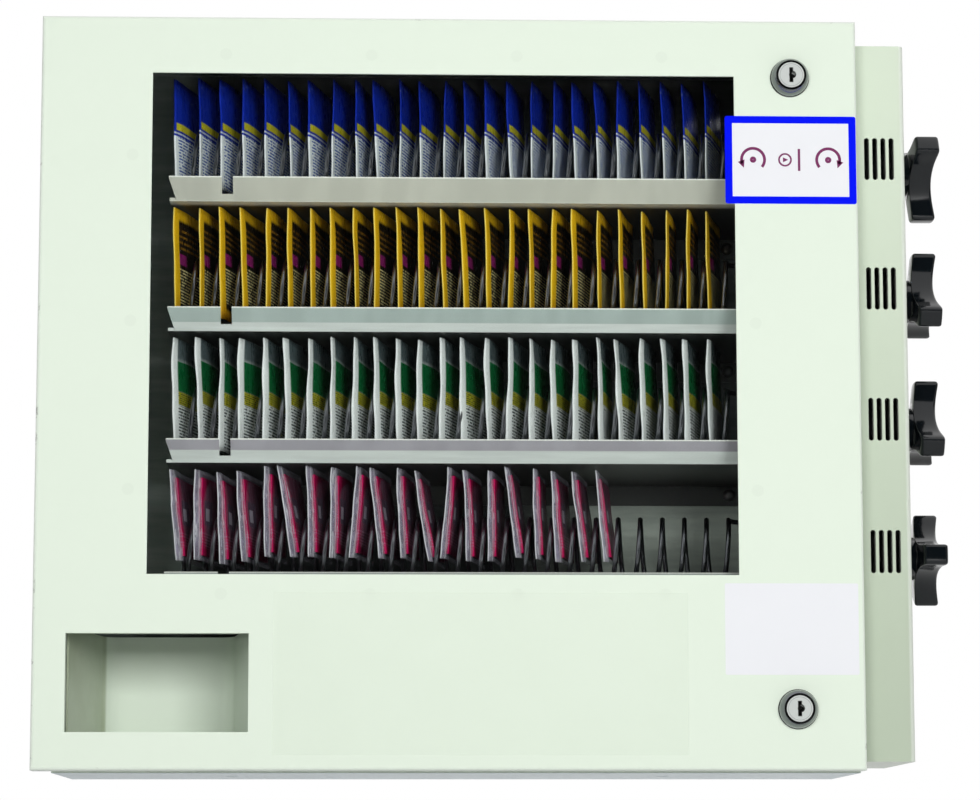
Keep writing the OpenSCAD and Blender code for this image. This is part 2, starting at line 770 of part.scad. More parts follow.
// Slots in a leaf that let the other leaf's knuckles through
module knuckle_slots(first) {
    for (k = [first : 2 : knuckles - 1])
        translate([hinge_x, hinge_y, -hinge_h / 2 + k * knuckle_l - free_gap / 2])
            cylinder(r = knuckle_r + free_gap, h = knuckle_l + free_gap);
}

module pin_bore() {
    translate([hinge_x, hinge_y, -hinge_h / 2 - eps]) cylinder(r = pin_r + running_gap, h = hinge_h + 2 * eps);
}

module hinge_cabinet_leaf() {
    z = [-hinge_h / 2, hinge_h / 2];
    color(steel) difference() {
        union() {
            difference() {
                block([cabinet_x0 - leaf_t, cabinet_x0], [hinge_y, hinge_y + leaf_w], z);
                knuckle_slots(1);
            }
            difference() {
                union() {
                    knuckle_row(0);
                    for (k = [0 : 2 : knuckles - 1])
                        block([hinge_x, cabinet_x0], [hinge_y + knuckle_r - leaf_t, hinge_y + knuckle_r],
                            [k, k + 1] * knuckle_l - [1, 1] * hinge_h / 2 + [free_gap, -free_gap] / 2);
                }
            }
        }
        pin_bore();
    }
}

module hinge_door_leaf() {
    x0 = door_x0 + sheet;
    z = [-hinge_h / 2, hinge_h / 2];
    color(steel) difference() {
        union() {
            difference() {
                block([x0, x0 + leaf_t], [hinge_y - leaf_w, hinge_y], z);
                knuckle_slots(0);
            }
            knuckle_row(1);
        }
        pin_bore();
    }
}

module hinge_pin() {
    color(steel) translate([hinge_x, hinge_y, -hinge_h / 2]) cylinder(r = pin_r, h = hinge_h);
}

// Lock body: domed bright ring on the door, and a barrel behind it, turned about the plug
module lock_body(side) {
    // Centre and radius of the arc that meets the foot and front edges of the dome
    foot_r = lock_ring_r - lock_step;
    centre = (pow(lock_face_r, 2) + pow(lock_dome, 2) - pow(foot_r, 2) - pow(lock_rim, 2))
        / (2 * (lock_dome - lock_rim));
    arc_r = norm([foot_r, lock_rim - centre]);
    barrel = lock_rear_y - door_y;
    color("silver") at_lock(side) translate([0, door_y, 0]) rotate([90, 0, 0]) rotate_extrude() difference() {
        union() {
            square([lock_ring_r, lock_rim]);
            intersection() {
                translate([0, centre]) circle(arc_r);
                translate([0, lock_rim - eps / 2]) square([lock_ring_r, lock_dome - lock_rim + eps / 2]);
            }
            translate([0, -barrel]) square([lock_body_r, barrel]);
        }
        translate([-eps, -barrel - eps]) square([plug_r + running_gap + eps, barrel + lock_dome + 2 * eps]);
    }
}

module lock_plug(side) {
    front = door_y - lock_dome - plug_proud;
    color("silver") at_lock(side) difference() {
        union() {
            rod_y(plug_r, front, lock_rear_y);
            rod_y(plug_stud_r, lock_rear_y, cam_y + cam_t + plug_stud_end);
        }
        block([-key_w / 2, key_w / 2], [front - eps, front + key_depth], [-key_h / 2, key_h / 2]);
        translate([key_w / 2, 0, key_round_z]) rod_y(key_round_r, front - eps, front + key_depth);
    }
}

// Cam arm; at rest it points to the middle of the door, clear of the flange
module lock_cam(side) {
    color(steel) at_lock(side) difference() {
        union() {
            rod_y(cam_w / 2, cam_y, cam_y + cam_t);
            block([-cam_w / 2, cam_w / 2], [cam_y, cam_y + cam_t], side > 0 ? [-cam_reach, 0] : [0, cam_reach]);
        }
        rod_y(plug_stud_r + running_gap, cam_y - eps, cam_y + cam_t + eps);
    }
}

module lock_nuts() {
    color(steel) for (side = [-1, 1])
        at_lock(side) difference() {
            translate([0, skin_y, 0]) rotate([-90, 0, 0]) cylinder(r = lock_nut_r, h = lock_nut_t, $fn = 6);
            rod_y(lock_body_r + running_gap, skin_y - eps, skin_y + lock_nut_t + eps);
        }
}

cabinet_shell();
front_frame();
bearing_plate();
coin_housing();
shaft_bushes();
coin_chute();
cash_box();
delivery_bin();
tray_screws();
door_pan();
delivery_frame();
window_studs();
window_pane();
window_retainers();
retainer_nuts();
hinge_cabinet_leaf();
hinge_door_leaf();
hinge_pin();
lock_nuts();
lock_body(1);  // lock_body_upper
lock_plug(1);  // lock_plug_upper
lock_cam(1);  // lock_cam_upper
lock_body(-1);  // lock_body_lower
lock_plug(-1);  // lock_plug_lower
lock_cam(-1);  // lock_cam_lower
for (i = [0 : last_row]) {
    tray(i);
    spiral_coil(i);
    coil_hub(i);
    drive_shaft(i);
    coin_drum(i);
    coin_guide(i);
    knob(i);
    packets(i);
}
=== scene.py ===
"""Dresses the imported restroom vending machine: enamel, wire spirals, packets, knobs and plates.

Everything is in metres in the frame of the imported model: X to the right, Z up, front facing -Y.
"""
import json
import math

import bpy
import numpy as np
from mathutils import Matrix, Vector


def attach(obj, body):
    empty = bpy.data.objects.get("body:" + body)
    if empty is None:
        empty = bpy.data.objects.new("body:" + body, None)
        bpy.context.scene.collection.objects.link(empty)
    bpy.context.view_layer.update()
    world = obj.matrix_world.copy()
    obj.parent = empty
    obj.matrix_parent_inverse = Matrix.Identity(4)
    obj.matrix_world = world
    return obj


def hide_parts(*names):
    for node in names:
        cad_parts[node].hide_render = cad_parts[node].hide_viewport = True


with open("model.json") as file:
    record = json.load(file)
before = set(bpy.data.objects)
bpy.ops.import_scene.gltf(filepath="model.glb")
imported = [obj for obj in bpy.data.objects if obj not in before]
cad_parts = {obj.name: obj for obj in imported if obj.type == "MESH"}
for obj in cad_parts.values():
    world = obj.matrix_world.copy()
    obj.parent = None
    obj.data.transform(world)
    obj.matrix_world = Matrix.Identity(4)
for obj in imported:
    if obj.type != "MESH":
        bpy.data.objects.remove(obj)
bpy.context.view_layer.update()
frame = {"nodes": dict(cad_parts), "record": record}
NODES = frame["nodes"]
MM = 0.001
ROWS = (1, 2, 3, 4)

# Sizes repeated from the part's source, in metres
AXIS_Y = -82 * MM
FIRST_AXIS_Z = 151 * MM
ROW_STEP = 83 * MM
COIL_X = -172 * MM
COIL_R = 26 * MM
WIRE_R = 1.6 * MM
COIL_PITCH = 14 * MM
COIL_TURNS = 25
PACKET_SHIFT = 0.5 * MM
PACKET_WIDTH = 54 * MM
PACKET_LOW = -17 * MM
PACKET_HIGH = 54 * MM
PACKET_YAW = 14
BAG_SHIFT = 1.1 * MM
BAG_WIDTH = 56 * MM
BAG_LOW = -2 * MM
BAG_HIGH = 55 * MM
BAG_YAW = 11
DOOR_Y = -150 * MM
CABINET_BOTTOM = -235 * MM
LOCK_X = 212 * MM
LOCK_Z = 197 * MM
BIN_SLANT = 0.1675
BIN_LEFT = -212.0 * MM


def axis_z(row):
    """Height of a row's spiral axis, counted from 1 at the top."""
    return FIRST_AXIS_Z - (row - 1) * ROW_STEP


# Meshes

def grid_quads(rows, cols, wrap_rows=False, wrap_cols=False):
    """Quads between neighbours on a grid of rows by cols points, numbered row by row."""
    r = np.arange(rows if wrap_rows else rows - 1)
    c = np.arange(cols if wrap_cols else cols - 1)
    a, b = np.meshgrid(r, c, indexing="ij")
    a2, b2 = (a + 1) % rows, (b + 1) % cols
    return np.stack([a * cols + b, a * cols + b2, a2 * cols + b2, a2 * cols + b], -1).reshape(-1, 4)


def repeat_faces(faces, count, stride):
    """The same faces for each of count copies whose points follow each other in steps of stride."""
    return (faces[None] + stride * np.arange(count)[:, None, None]).reshape(-1, faces.shape[1])


def add_piece(name, points, faces, body, slot, finish, uv=None, tone=None, smooth=True, stands_for=()):
    """Puts points (n, 3) and faces into a mesh that rides a body; uv and tone are one value per point."""
    mesh = bpy.data.meshes.new(name)
    mesh.from_pydata(points.reshape(-1, 3).tolist(), [], [list(map(int, f)) for f in faces])
    corner = np.empty(len(mesh.loops), np.int32)
    mesh.loops.foreach_get("vertex_index", corner)
    for layer, values in (("UVMap", uv), ("Tone", tone)):
        if values is not None:
            uv_layer = mesh.uv_layers.new(name=layer)
            uv_layer.data.foreach_set("uv", values.reshape(-1, 2)[corner].astype(np.float32).ravel())
    mesh.polygons.foreach_set("use_smooth", np.full(len(mesh.polygons), smooth))
    mesh.materials.append(finish)
    mesh.update()
    obj = bpy.data.objects.new(name, mesh)
    bpy.context.scene.collection.objects.link(obj)
    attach(obj, body)
    if stands_for:
        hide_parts(*stands_for)
    return obj


# Shader helpers

def new_material(name):
    """An empty node material with its output and one Principled shader."""
    mat = bpy.data.materials.new(name)
    mat.use_nodes = True
    tree = mat.node_tree
    tree.nodes.clear()
    out = tree.nodes.new("ShaderNodeOutputMaterial")
    skin = tree.nodes.new("ShaderNodeBsdfPrincipled")
    tree.links.new(skin.outputs["BSDF"], out.inputs["Surface"])
    return mat, tree, skin


def add_node(tree, kind, settings=None, **inputs):
    """Adds a node, sets its properties, and sets or links its inputs by name (_ for a space)."""
    node = tree.nodes.new(kind)
    for key, value in (settings or {}).items():
        setattr(node, key, value)
    for key, value in inputs.items():
        name = key.replace("_", " ")
        socket = node.inputs[int(name[1:])] if name[0] == "i" and name[1:].isdigit() else node.inputs[name]
        join(tree, value, socket)
    return node


def join(tree, value, socket):
    """Links a socket to another, or sets it to a plain value."""
    if isinstance(value, bpy.types.NodeSocket):
        tree.links.new(value, socket)
    else:
        socket.default_value = value


def math_node(tree, operation, a, b=0.0, clamp=False):
    """One Math node; returns its output socket."""
    return add_node(tree, "ShaderNodeMath", {"operation": operation, "use_clamp": clamp}, i0=a,
                    i1=b).outputs[0]


def ramp(tree, value, low, high, to_low=0.0, to_high=1.0):
    """Smooth step from to_low at low to to_high at high."""
    node = add_node(tree, "ShaderNodeMapRange", {"interpolation_type": "SMOOTHSTEP"}, Value=value,
                    From_Min=low,
                    From_Max=high, To_Min=to_low, To_Max=to_high)
    return node.outputs[0]


def blend_color(tree, mask, a, b):
    """Colour a where the mask is 0 and b where it is 1."""
    node = add_node(tree, "ShaderNodeMix", {"data_type": "RGBA"})
    join(tree, mask, node.inputs[0])
    join(tree, a, node.inputs[6])
    join(tree, b, node.inputs[7])
    return node.outputs[2]


def band(tree, value, low, high, soft=0.006):
    """1 between low and high, with soft edges."""
    rise = ramp(tree, value, low - soft, low + soft)
    return math_node(tree, "MULTIPLY", rise, ramp(tree, value, high + soft, high - soft))


def both(tree, a, b):
    """Where two masks meet."""
    return math_node(tree, "MULTIPLY", a, b)


def object_place(tree, scale=(1, 1, 1)):
    """Object coordinates, stretched by scale."""
    place = add_node(tree, "ShaderNodeTexCoord").outputs["Object"]
    return add_node(tree, "ShaderNodeMapping", Vector=place, Scale=scale).outputs[0]


def noise(tree, place, scale, detail=3.0, rough=0.55):
    """Value noise from 0 to 1."""
    return add_node(tree, "ShaderNodeTexNoise", Vector=place, Scale=scale, Detail=detail,
                    Roughness=rough).outputs[0]


def split(tree, place):
    """The three parts of a vector."""
    node = add_node(tree, "ShaderNodeSeparateXYZ", Vector=place)
    return node.outputs[0], node.outputs[1], node.outputs[2]


def bump(tree, skin, height, strength, distance):
    """Feeds a height into the shader's normal."""
    node = add_node(tree, "ShaderNodeBump", Height=height, Strength=strength, Distance=distance)
    tree.links.new(node.outputs[0], skin.inputs["Normal"])


def new_group(name, inputs, outputs):
    """A shader node group with named float or colour sockets."""
    group = bpy.data.node_groups.new(name, "ShaderNodeTree")
    kinds = {"f": "NodeSocketFloat", "c": "NodeSocketColor", "v": "NodeSocketVector"}
    for label, kind in inputs:
        group.interface.new_socket(label, in_out="INPUT", socket_type=kinds[kind])
    for label, kind in outputs:
        group.interface.new_socket(label, in_out="OUTPUT", socket_type=kinds[kind])
    return group, group.nodes.new("NodeGroupInput"), group.nodes.new("NodeGroupOutput")


def place_group(tree, group, **inputs):
    """Puts a group into a material with its own values."""
    return add_node(tree, "ShaderNodeGroup", {"node_tree": group}, **inputs)


def make_skin_group():
    """Enamel surface: slow tone drift, orange peel height and a roughness that varies with handling."""
    group, given, out = new_group("enamel_skin", [("Color", "c"), ("Drift", "f"), ("Gloss", "f")],
                                  [("Color", "c"), ("Roughness", "f"), ("Height", "f")])
    place = object_place(group)
    drift = noise(group, place, 5.0, 3.0)
    fine = noise(group, place, 46.0, 4.0)
    tone = math_node(group, "ADD", math_node(group, "MULTIPLY", drift, 0.7),
                     math_node(group, "MULTIPLY", fine, 0.3))
    shade = math_node(group, "SUBTRACT", 1.0, math_node(group, "MULTIPLY", tone, given.outputs["Drift"]))
    tinted = add_node(group, "ShaderNodeVectorMath", {"operation": "SCALE"}, i0=given.outputs["Color"])
    join(group, shade, tinted.inputs[3])
    group.links.new(tinted.outputs[0], out.inputs["Color"])
    smudge = ramp(group, noise(group, place, 17.0, 5.0, 0.65), 0.42, 0.72, -0.015, 0.02)
    join(group, math_node(group, "ADD", given.outputs["Gloss"], smudge), out.inputs["Roughness"])
    peel = noise(group, place, 620.0, 1.5, 0.4)
    join(group, peel, out.inputs["Height"])
    return group


def make_grain_group():
    """Drawn or rolled metal: fine lines along one direction that vary shade and roughness."""
    group, given, out = new_group("metal_grain",
                                  [("Color", "c"), ("Stretch", "v"), ("Depth", "f"), ("Gloss", "f")],
                                  [("Color", "c"), ("Roughness", "f"), ("Height", "f")])
    place = add_node(group, "ShaderNodeTexCoord").outputs["Object"]
    place = add_node(group, "ShaderNodeVectorMath", {"operation": "MULTIPLY"}, i0=place,
                     i1=given.outputs["Stretch"])
    lines = noise(group, place.outputs[0], 1.0, 4.0, 0.6)
    plain = object_place(group)
    cloud = noise(group, plain, 30.0, 4.0)
    mixed = math_node(group, "ADD", math_node(group, "MULTIPLY", lines, 0.6),
                      math_node(group, "MULTIPLY", cloud, 0.4))
    shade = math_node(group, "SUBTRACT", 1.0, math_node(group, "MULTIPLY", mixed, given.outputs["Depth"]))
    tinted = add_node(group, "ShaderNodeVectorMath", {"operation": "SCALE"}, i0=given.outputs["Color"])
    join(group, shade, tinted.inputs[3])
    group.links.new(tinted.outputs[0], out.inputs["Color"])
    rough = math_node(group, "ADD", given.outputs["Gloss"], ramp(group, mixed, 0.3, 0.7, -0.06, 0.1))
    join(group, rough, out.inputs["Roughness"])
    join(group, lines, out.inputs["Height"])
    return group


SKIN = make_skin_group()
GRAIN = make_grain_group()
CREAM = (0.765, 0.855, 0.735, 1)


def enamel(name, color, drift=0.05, gloss=0.3, peel=0.05, coat=0.2, shine=0.4, paint=None):
    """Gloss enamel on sheet metal; paint(tree, color) may change the colour over the surface."""
    mat, tree, skin = new_material(name)
    base = paint(tree, color) if paint else color
    group = place_group(tree, SKIN, Color=base, Drift=drift, Gloss=gloss)
    tree.links.new(group.outputs["Color"], skin.inputs["Base Color"])
    tree.links.new(group.outputs["Roughness"], skin.inputs["Roughness"])
    bump(tree, skin, group.outputs["Height"], peel, 0.0004)
    skin.inputs["Specular IOR Level"].default_value = shine
    skin.inputs["Coat Weight"].default_value = coat
    skin.inputs["Coat Roughness"].default_value = 0.14
    return mat


def between_planes(tree, value, low, high):
    """1 where a value lies between two planes."""
    return both(tree, math_node(tree, "GREATER_THAN", value, low), math_node(tree, "LESS_THAN", value, high))


def paint_inside(tree, color):
    """Painted shade inside the cabinet, patchy in tone, with painted light at the left end and on the lower
    back wall at the right, and deeper painted shade low down; plain outside, with a cool grey painted shade on
    the underside.
    """
    (x0, x1), (y0, y1), (z0, z1) = CABINET_INSIDE
    x, y, z = split(tree, object_place(tree))
    inside = both(tree, both(tree, between_planes(tree, x, x0, x1), between_planes(tree, y, y0, y1)),
                  between_planes(tree, z, z0, z1))
    patchy = ramp(tree, noise(tree, object_place(tree, (8, 8, 60)), 3.0, 6.0, 0.6), 0.3, 0.75)
    # Painted shade: darker still low down inside.
    floor = ramp(tree, z, -0.135, -0.09, 1.0, 0.0)
    # Painted light: paler towards the left end inside.
    left = ramp(tree, x, -0.15, -0.19)
    # Painted shade: the inside is painted dark, with a patchy tone.
    inside_light_shade = blend_color(tree, patchy, (0.03, 0.036, 0.035, 1), (0.06, 0.066, 0.066, 1))
    inside_light_shade = blend_color(tree, left, inside_light_shade, blend_color(tree, patchy, (0.42, 0.48, 0.45, 1), (0.56, 0.6, 0.57, 1)))
    # Painted light: a paler lower back wall at the right, where no packets shade it.
    bare = both(tree, ramp(tree, x, 0.04, 0.09), ramp(tree, z, -0.02, -0.03))
    pale = blend_color(tree, patchy, (0.26, 0.29, 0.26, 1), (0.36, 0.39, 0.35, 1))
    inside_light_shade = blend_color(tree, bare, inside_light_shade, pale)
    inside_light_shade = blend_color(tree, math_node(tree, "MULTIPLY", floor, 0.6), inside_light_shade, (0.03, 0.036, 0.034, 1))
    # Painted shade: a cool grey on the underside.
    below = math_node(tree, "LESS_THAN", z, CABINET_BOTTOM + 0.2 * MM)
    outside = blend_color(tree, below, color, (0.45, 0.56, 0.6, 1))
    return blend_color(tree, inside, outside, inside_light_shade)


# Where the upper part of each lip, painted in a darker tone as painted shade, starts above its lower edge, and
# that part's tone
LIP_BOTTOM = 12.6 * MM
LIP_TOP = 26.2 * MM
LIP_SHADE_BANDS = ((0.0, (0.6, 0.6, 0.52, 1)), (5.2 * MM, (0.46, 0.54, 0.51, 1)), (7.4 * MM, (0.42, 0.4, 0.44, 1)),
             (4.0 * MM, (0.5, 0.54, 0.52, 1)))


def paint_tray(tree, color):
    """Lips with painted shade on the upper part, painted wavy shade there and a painted highlight along the
    top edge; undersides and backs painted dark as shade, painted light under the front of the top tray, and
    streaks along the tray.
    """
    _, y, z = split(tree, object_place(tree))
    turn = math_node(tree, "DIVIDE", math_node(tree, "SUBTRACT", z, axis_z(4) - 40 * MM), ROW_STEP)
    rise = math_node(tree, "MULTIPLY", math_node(tree, "FRACT", turn), ROW_STEP)
    streak = ramp(tree, noise(tree, object_place(tree, (6, 60, 90)), 3.0, 4.0), 0.3, 0.7)
    # Painted shade: wavy darker patches on the upper part of the lips.
    wave = ramp(tree, noise(tree, object_place(tree, (55, 1, 20)), 1.0, 2.0), 0.35, 0.65)
    base = blend_color(tree, streak, color, tuple(c * 0.88 for c in color[:3]) + (1,))
    for row, (height, tone) in zip(ROWS, LIP_SHADE_BANDS):
        own = between_planes(tree, z, axis_z(row) - 30 * MM, axis_z(row))
        edge = LIP_BOTTOM + height
        upper = both(tree, own, ramp(tree, rise, edge - 0.3 * MM, edge + 0.3 * MM))
        shade = blend_color(tree, wave, tone, tuple(c * 0.9 for c in tone[:3]) + (1,))
        base = blend_color(tree, upper, base, shade)
    # Painted shade on the tray undersides, with painted light under the front of the top tray.
    under = ramp(tree, rise, LIP_BOTTOM + 0.15 * MM, LIP_BOTTOM)
    light = both(tree, ramp(tree, z, axis_z(1) - 60 * MM, axis_z(1) - 40 * MM), ramp(tree, y, -0.1, -0.112))
    below = blend_color(tree, light, (0.06, 0.062, 0.06, 1), (0.9, 0.9, 0.82, 1))
    base = blend_color(tree, under, base, below)
    # Painted shade: the backs of the trays are painted dark.
    base = blend_color(tree, math_node(tree, "GREATER_THAN", y, -0.1), base, (0.05, 0.052, 0.05, 1))
    # Painted highlight: a bright line along the top edge of each lip.
    front = math_node(tree, "LESS_THAN", y, -0.117)
    top = both(tree, front, ramp(tree, rise, LIP_TOP - 0.4 * MM, LIP_TOP))
    return blend_color(tree, top, base, (0.95, 0.96, 0.9, 1))


def dot_row(tree, along, across, start, step, line, low, high):
    """Round marks at the middle of each step along a line: 1 at their centres, 0 past their edges."""
    share = math_node(tree, "FRACT",
                      math_node(tree, "DIVIDE", math_node(tree, "SUBTRACT", along, start), step))
    off = math_node(tree, "MULTIPLY", math_node(tree, "SUBTRACT", share, 0.5), step)
    place = add_node(tree, "ShaderNodeCombineXYZ", X=off, Y=math_node(tree, "SUBTRACT", across, line))
    far = add_node(tree, "ShaderNodeVectorMath", {"operation": "LENGTH"},
                   i0=place.outputs[0]).outputs["Value"]
    return both(tree, ramp(tree, far, 4.2 * MM, 3.2 * MM), between_planes(tree, along, low, high))


def paint_door(tree, color):
    """Faint round marks over the welded studs, a painted highlight along the folded edges, and small chips of
    rubbed paint there.
    """
    x, _, z = split(tree, object_place(tree))
    marks = 0.0
    for line in (-0.127, 0.210):
        marks = math_node(tree, "MAXIMUM", marks, dot_row(tree, x, z, -0.185, 0.0905, line, -0.185, 0.177))
    for line in (-0.197, 0.189):
        marks = math_node(tree, "MAXIMUM", marks, dot_row(tree, z, x, -0.115, 0.10433, line, -0.115, 0.198))
    base = blend_color(tree, math_node(tree, "MULTIPLY", marks, 0.5), color,
                       tuple(c * 0.93 for c in color[:3]) + (1,))
    edge = math_node(tree, "MAXIMUM", ramp(tree, math_node(tree, "ABSOLUTE", x), 0.2518, 0.2532),
                     ramp(tree, math_node(tree, "ABSOLUTE", z), 0.2318, 0.2332))
    rub = both(tree, edge, ramp(tree, noise(tree, object_place(tree), 34.0, 6.0, 0.7), 0.6, 0.68))
    # Painted highlight: a paler band along the folded edges.
    base = blend_color(tree, math_node(tree, "MULTIPLY", edge, 0.4), base, (0.86, 0.9, 0.84, 1))
    base = blend_color(tree, math_node(tree, "MULTIPLY", rub, 0.75), base, (0.2, 0.2, 0.19, 1))
    return base


def paint_housing(tree, color):
    """A painted highlight along the upright bends, and painted shade darkening it towards the bottom."""
    x, y, z = split(tree, object_place(tree))
    # Painted shade: darker towards the bottom.
    low_shade = ramp(tree, math_node(tree, "ADD", z,
                                math_node(tree, "MULTIPLY", noise(tree, object_place(tree), 9.0), 0.08)),
                0.3, -0.2, 0.0, 0.55)
    base = blend_color(tree, low_shade, color, (0.31, 0.37, 0.27, 1))
    # Painted highlight along the upright bends.
    bend = both(tree, ramp(tree, x, 0.2838, 0.2856), ramp(tree, y, -0.1245, -0.1262))
    return blend_color(tree, math_node(tree, "MULTIPLY", bend, 0.5), base, (0.9, 0.93, 0.88, 1))


def paint_plug(tree, color):
    """A keyhole painted black as painted shade in the hole: an upright slot with a round middle, and a faint
    ring near the rim.
    """
    x, _, z = split(tree, object_place(tree))
    side = math_node(tree, "SUBTRACT", x, LOCK_X)
    up = math_node(tree, "SUBTRACT", math_node(tree, "ABSOLUTE", z), LOCK_Z)
    soft = 0.1 * MM
    slot = both(tree, band(tree, side, -1.2 * MM, 1.2 * MM, soft), band(tree, up, -4.7 * MM, 4.7 * MM, soft))
    place = add_node(tree, "ShaderNodeCombineXYZ", X=math_node(tree, "SUBTRACT", side, 0.8 * MM), Y=up)
    off = add_node(tree, "ShaderNodeVectorMath", {"operation": "LENGTH"},
                   i0=place.outputs[0]).outputs["Value"]
    hole = math_node(tree, "MAXIMUM", slot, ramp(tree, off, 2.3 * MM, 2.1 * MM))
    middle = add_node(tree, "ShaderNodeCombineXYZ", X=side, Y=up)
    far = add_node(tree, "ShaderNodeVectorMath", {"operation": "LENGTH"},
                   i0=middle.outputs[0]).outputs["Value"]
    ring = band(tree, far, 6.9 * MM, 7.15 * MM, soft)
    base = blend_color(tree, math_node(tree, "MULTIPLY", ring, 0.6), color, (0.1, 0.1, 0.1, 1))
    # Painted shade: the keyhole is painted black.
    return blend_color(tree, hole, base, (0.006, 0.006, 0.006, 1))


def paint_bin(tree, color):
    """Painted shade on the slanted left wall, which lies where x less its slant times y is lowest."""
    x, y, _ = split(tree, object_place(tree))
    patchy = ramp(tree, noise(tree, object_place(tree), 30.0, 4.0), 0.3, 0.7, 0.8, 1.0)
    along = math_node(tree, "SUBTRACT", x, math_node(tree, "MULTIPLY", y, BIN_SLANT))
    # Painted shade: a darker olive on the left wall.
    left = both(tree, patchy, ramp(tree, along, BIN_LEFT + 2.0 * MM, BIN_LEFT + 0.6 * MM))
    return blend_color(tree, left, color, (0.44, 0.5, 0.36, 1))


def metal(name, color, gloss=0.25, depth=0.25, stretch=(900, 900, 40), relief=0.05):
    """Bare metal with a grain whose stretch gives the line density along X, Y and Z."""
    mat, tree, skin = new_material(name)
    group = place_group(tree, GRAIN, Color=color, Stretch=stretch, Depth=depth, Gloss=gloss)
    tree.links.new(group.outputs["Color"], skin.inputs["Base Color"])
    tree.links.new(group.outputs["Roughness"], skin.inputs["Roughness"])
    bump(tree, skin, group.outputs["Height"], relief, 0.0003)
    skin.inputs["Metallic"].default_value = 1.0
    return mat


def moulded(name, color, gloss=0.25, drift=0.3, peel=0.03, coat=0.4):
    """Moulded plastic: a faint flow texture and finger smudges in the gloss."""
    mat, tree, skin = new_material(name)
    group = place_group(tree, SKIN, Color=color, Drift=drift, Gloss=gloss)
    tree.links.new(group.outputs["Color"], skin.inputs["Base Color"])
    tree.links.new(group.outputs["Roughness"], skin.inputs["Roughness"])
    bump(tree, skin, group.outputs["Height"], peel, 0.0003)
    skin.inputs["Specular IOR Level"].default_value = 0.35
    skin.inputs["Coat Weight"].default_value = coat
    skin.inputs["Coat Roughness"].default_value = 0.1
    return mat


def clear_sheet(name, color, gloss=0.02, ior=1.3):
    """Clear plastic sheet: glass to the eye, open to shadow and bounced light."""
    mat, tree, skin = new_material(name)
    skin.inputs["Base Color"].default_value = color
    skin.inputs["Roughness"].default_value = gloss
    skin.inputs["IOR"].default_value = ior
    skin.inputs["Transmission Weight"].default_value = 1.0
    path = add_node(tree, "ShaderNodeLightPath")
    passing = math_node(tree, "MAXIMUM", path.outputs["Is Shadow Ray"], path.outputs["Is Diffuse Ray"])
    through = add_node(tree, "ShaderNodeBsdfTransparent", Color=(0.93, 0.95, 0.94, 1))
    mix = add_node(tree, "ShaderNodeMixShader", i0=passing, i1=skin.outputs["BSDF"], i2=through.outputs[0])
    out = next(n for n in tree.nodes if n.type == "OUTPUT_MATERIAL")
    tree.links.new(mix.outputs[0], out.inputs["Surface"])
    return mat


def thin_film(name, color, alpha, gloss=0.15, peel=0.3, scale=180.0):
    """Clear film that mostly lets light through, with a crinkled gloss."""
    mat, tree, skin = new_material(name)
    crinkle = noise(tree, object_place(tree), scale, 4.0)
    join(tree, ramp(tree, crinkle, 0.3, 0.75, alpha * 0.6, alpha * 1.5), skin.inputs["Alpha"])
    skin.inputs["Base Color"].default_value = color
    skin.inputs["Roughness"].default_value = gloss
    skin.inputs["Specular IOR Level"].default_value = 0.1
    bump(tree, skin, crinkle, peel, 0.0008)
    return mat


# Packet prints. u runs from the front edge to the back and v from the bottom to the top

def packet_print(name, paint, foil=0.1, gloss=0.3):
    """Printed film; paint(tree, u, v, tone) gives the colour. Fine creases run from the seals."""
    mat, tree, skin = new_material(name)
    u, v, _ = split(tree, add_node(tree, "ShaderNodeUVMap", {"uv_map": "UVMap"}).outputs[0])
    tone, _, _ = split(tree, add_node(tree, "ShaderNodeUVMap", {"uv_map": "Tone"}).outputs[0])
    tree.links.new(paint(tree, u, v, tone), skin.inputs["Base Color"])
    crease = noise(tree, object_place(tree, (1, 1, 0.35)), 260.0, 3.0)
    join(tree, ramp(tree, crease, 0.3, 0.7, gloss - 0.08, gloss + 0.14), skin.inputs["Roughness"])
    ribs = math_node(tree, "SINE", math_node(tree, "MULTIPLY", v, 420.0))
    seal = math_node(tree, "MAXIMUM", ramp(tree, v, 0.95, 0.96), ramp(tree, v, 0.05, 0.04))
    height = math_node(tree, "ADD",
                       math_node(tree, "MULTIPLY", ribs, math_node(tree, "MULTIPLY", seal, 0.4)), crease)
    bump(tree, skin, height, 0.4, 0.0006)
    skin.inputs["Metallic"].default_value = foil
    skin.inputs["Specular IOR Level"].default_value = 0.25
    return mat


def fine_lines(tree, u, v, tone, count, share=0.5):
    """Rows of short dashes, as small print looks from a distance."""
    row = math_node(tree, "FRACT", math_node(tree, "MULTIPLY", v, count))
    key = math_node(tree, "FLOOR", math_node(tree, "MULTIPLY", v, count))
    place = add_node(tree, "ShaderNodeCombineXYZ", X=math_node(tree, "MULTIPLY", u, 34.0),
                     Y=math_node(tree, "MULTIPLY", key, 3.7), Z=math_node(tree, "MULTIPLY", tone, 40.0))
    dash = ramp(tree, noise(tree, place.outputs[0], 1.0, 1.0), 0.4, 0.46)
    return both(tree, dash, band(tree, row, 0.2, 0.2 + share, 0.08))


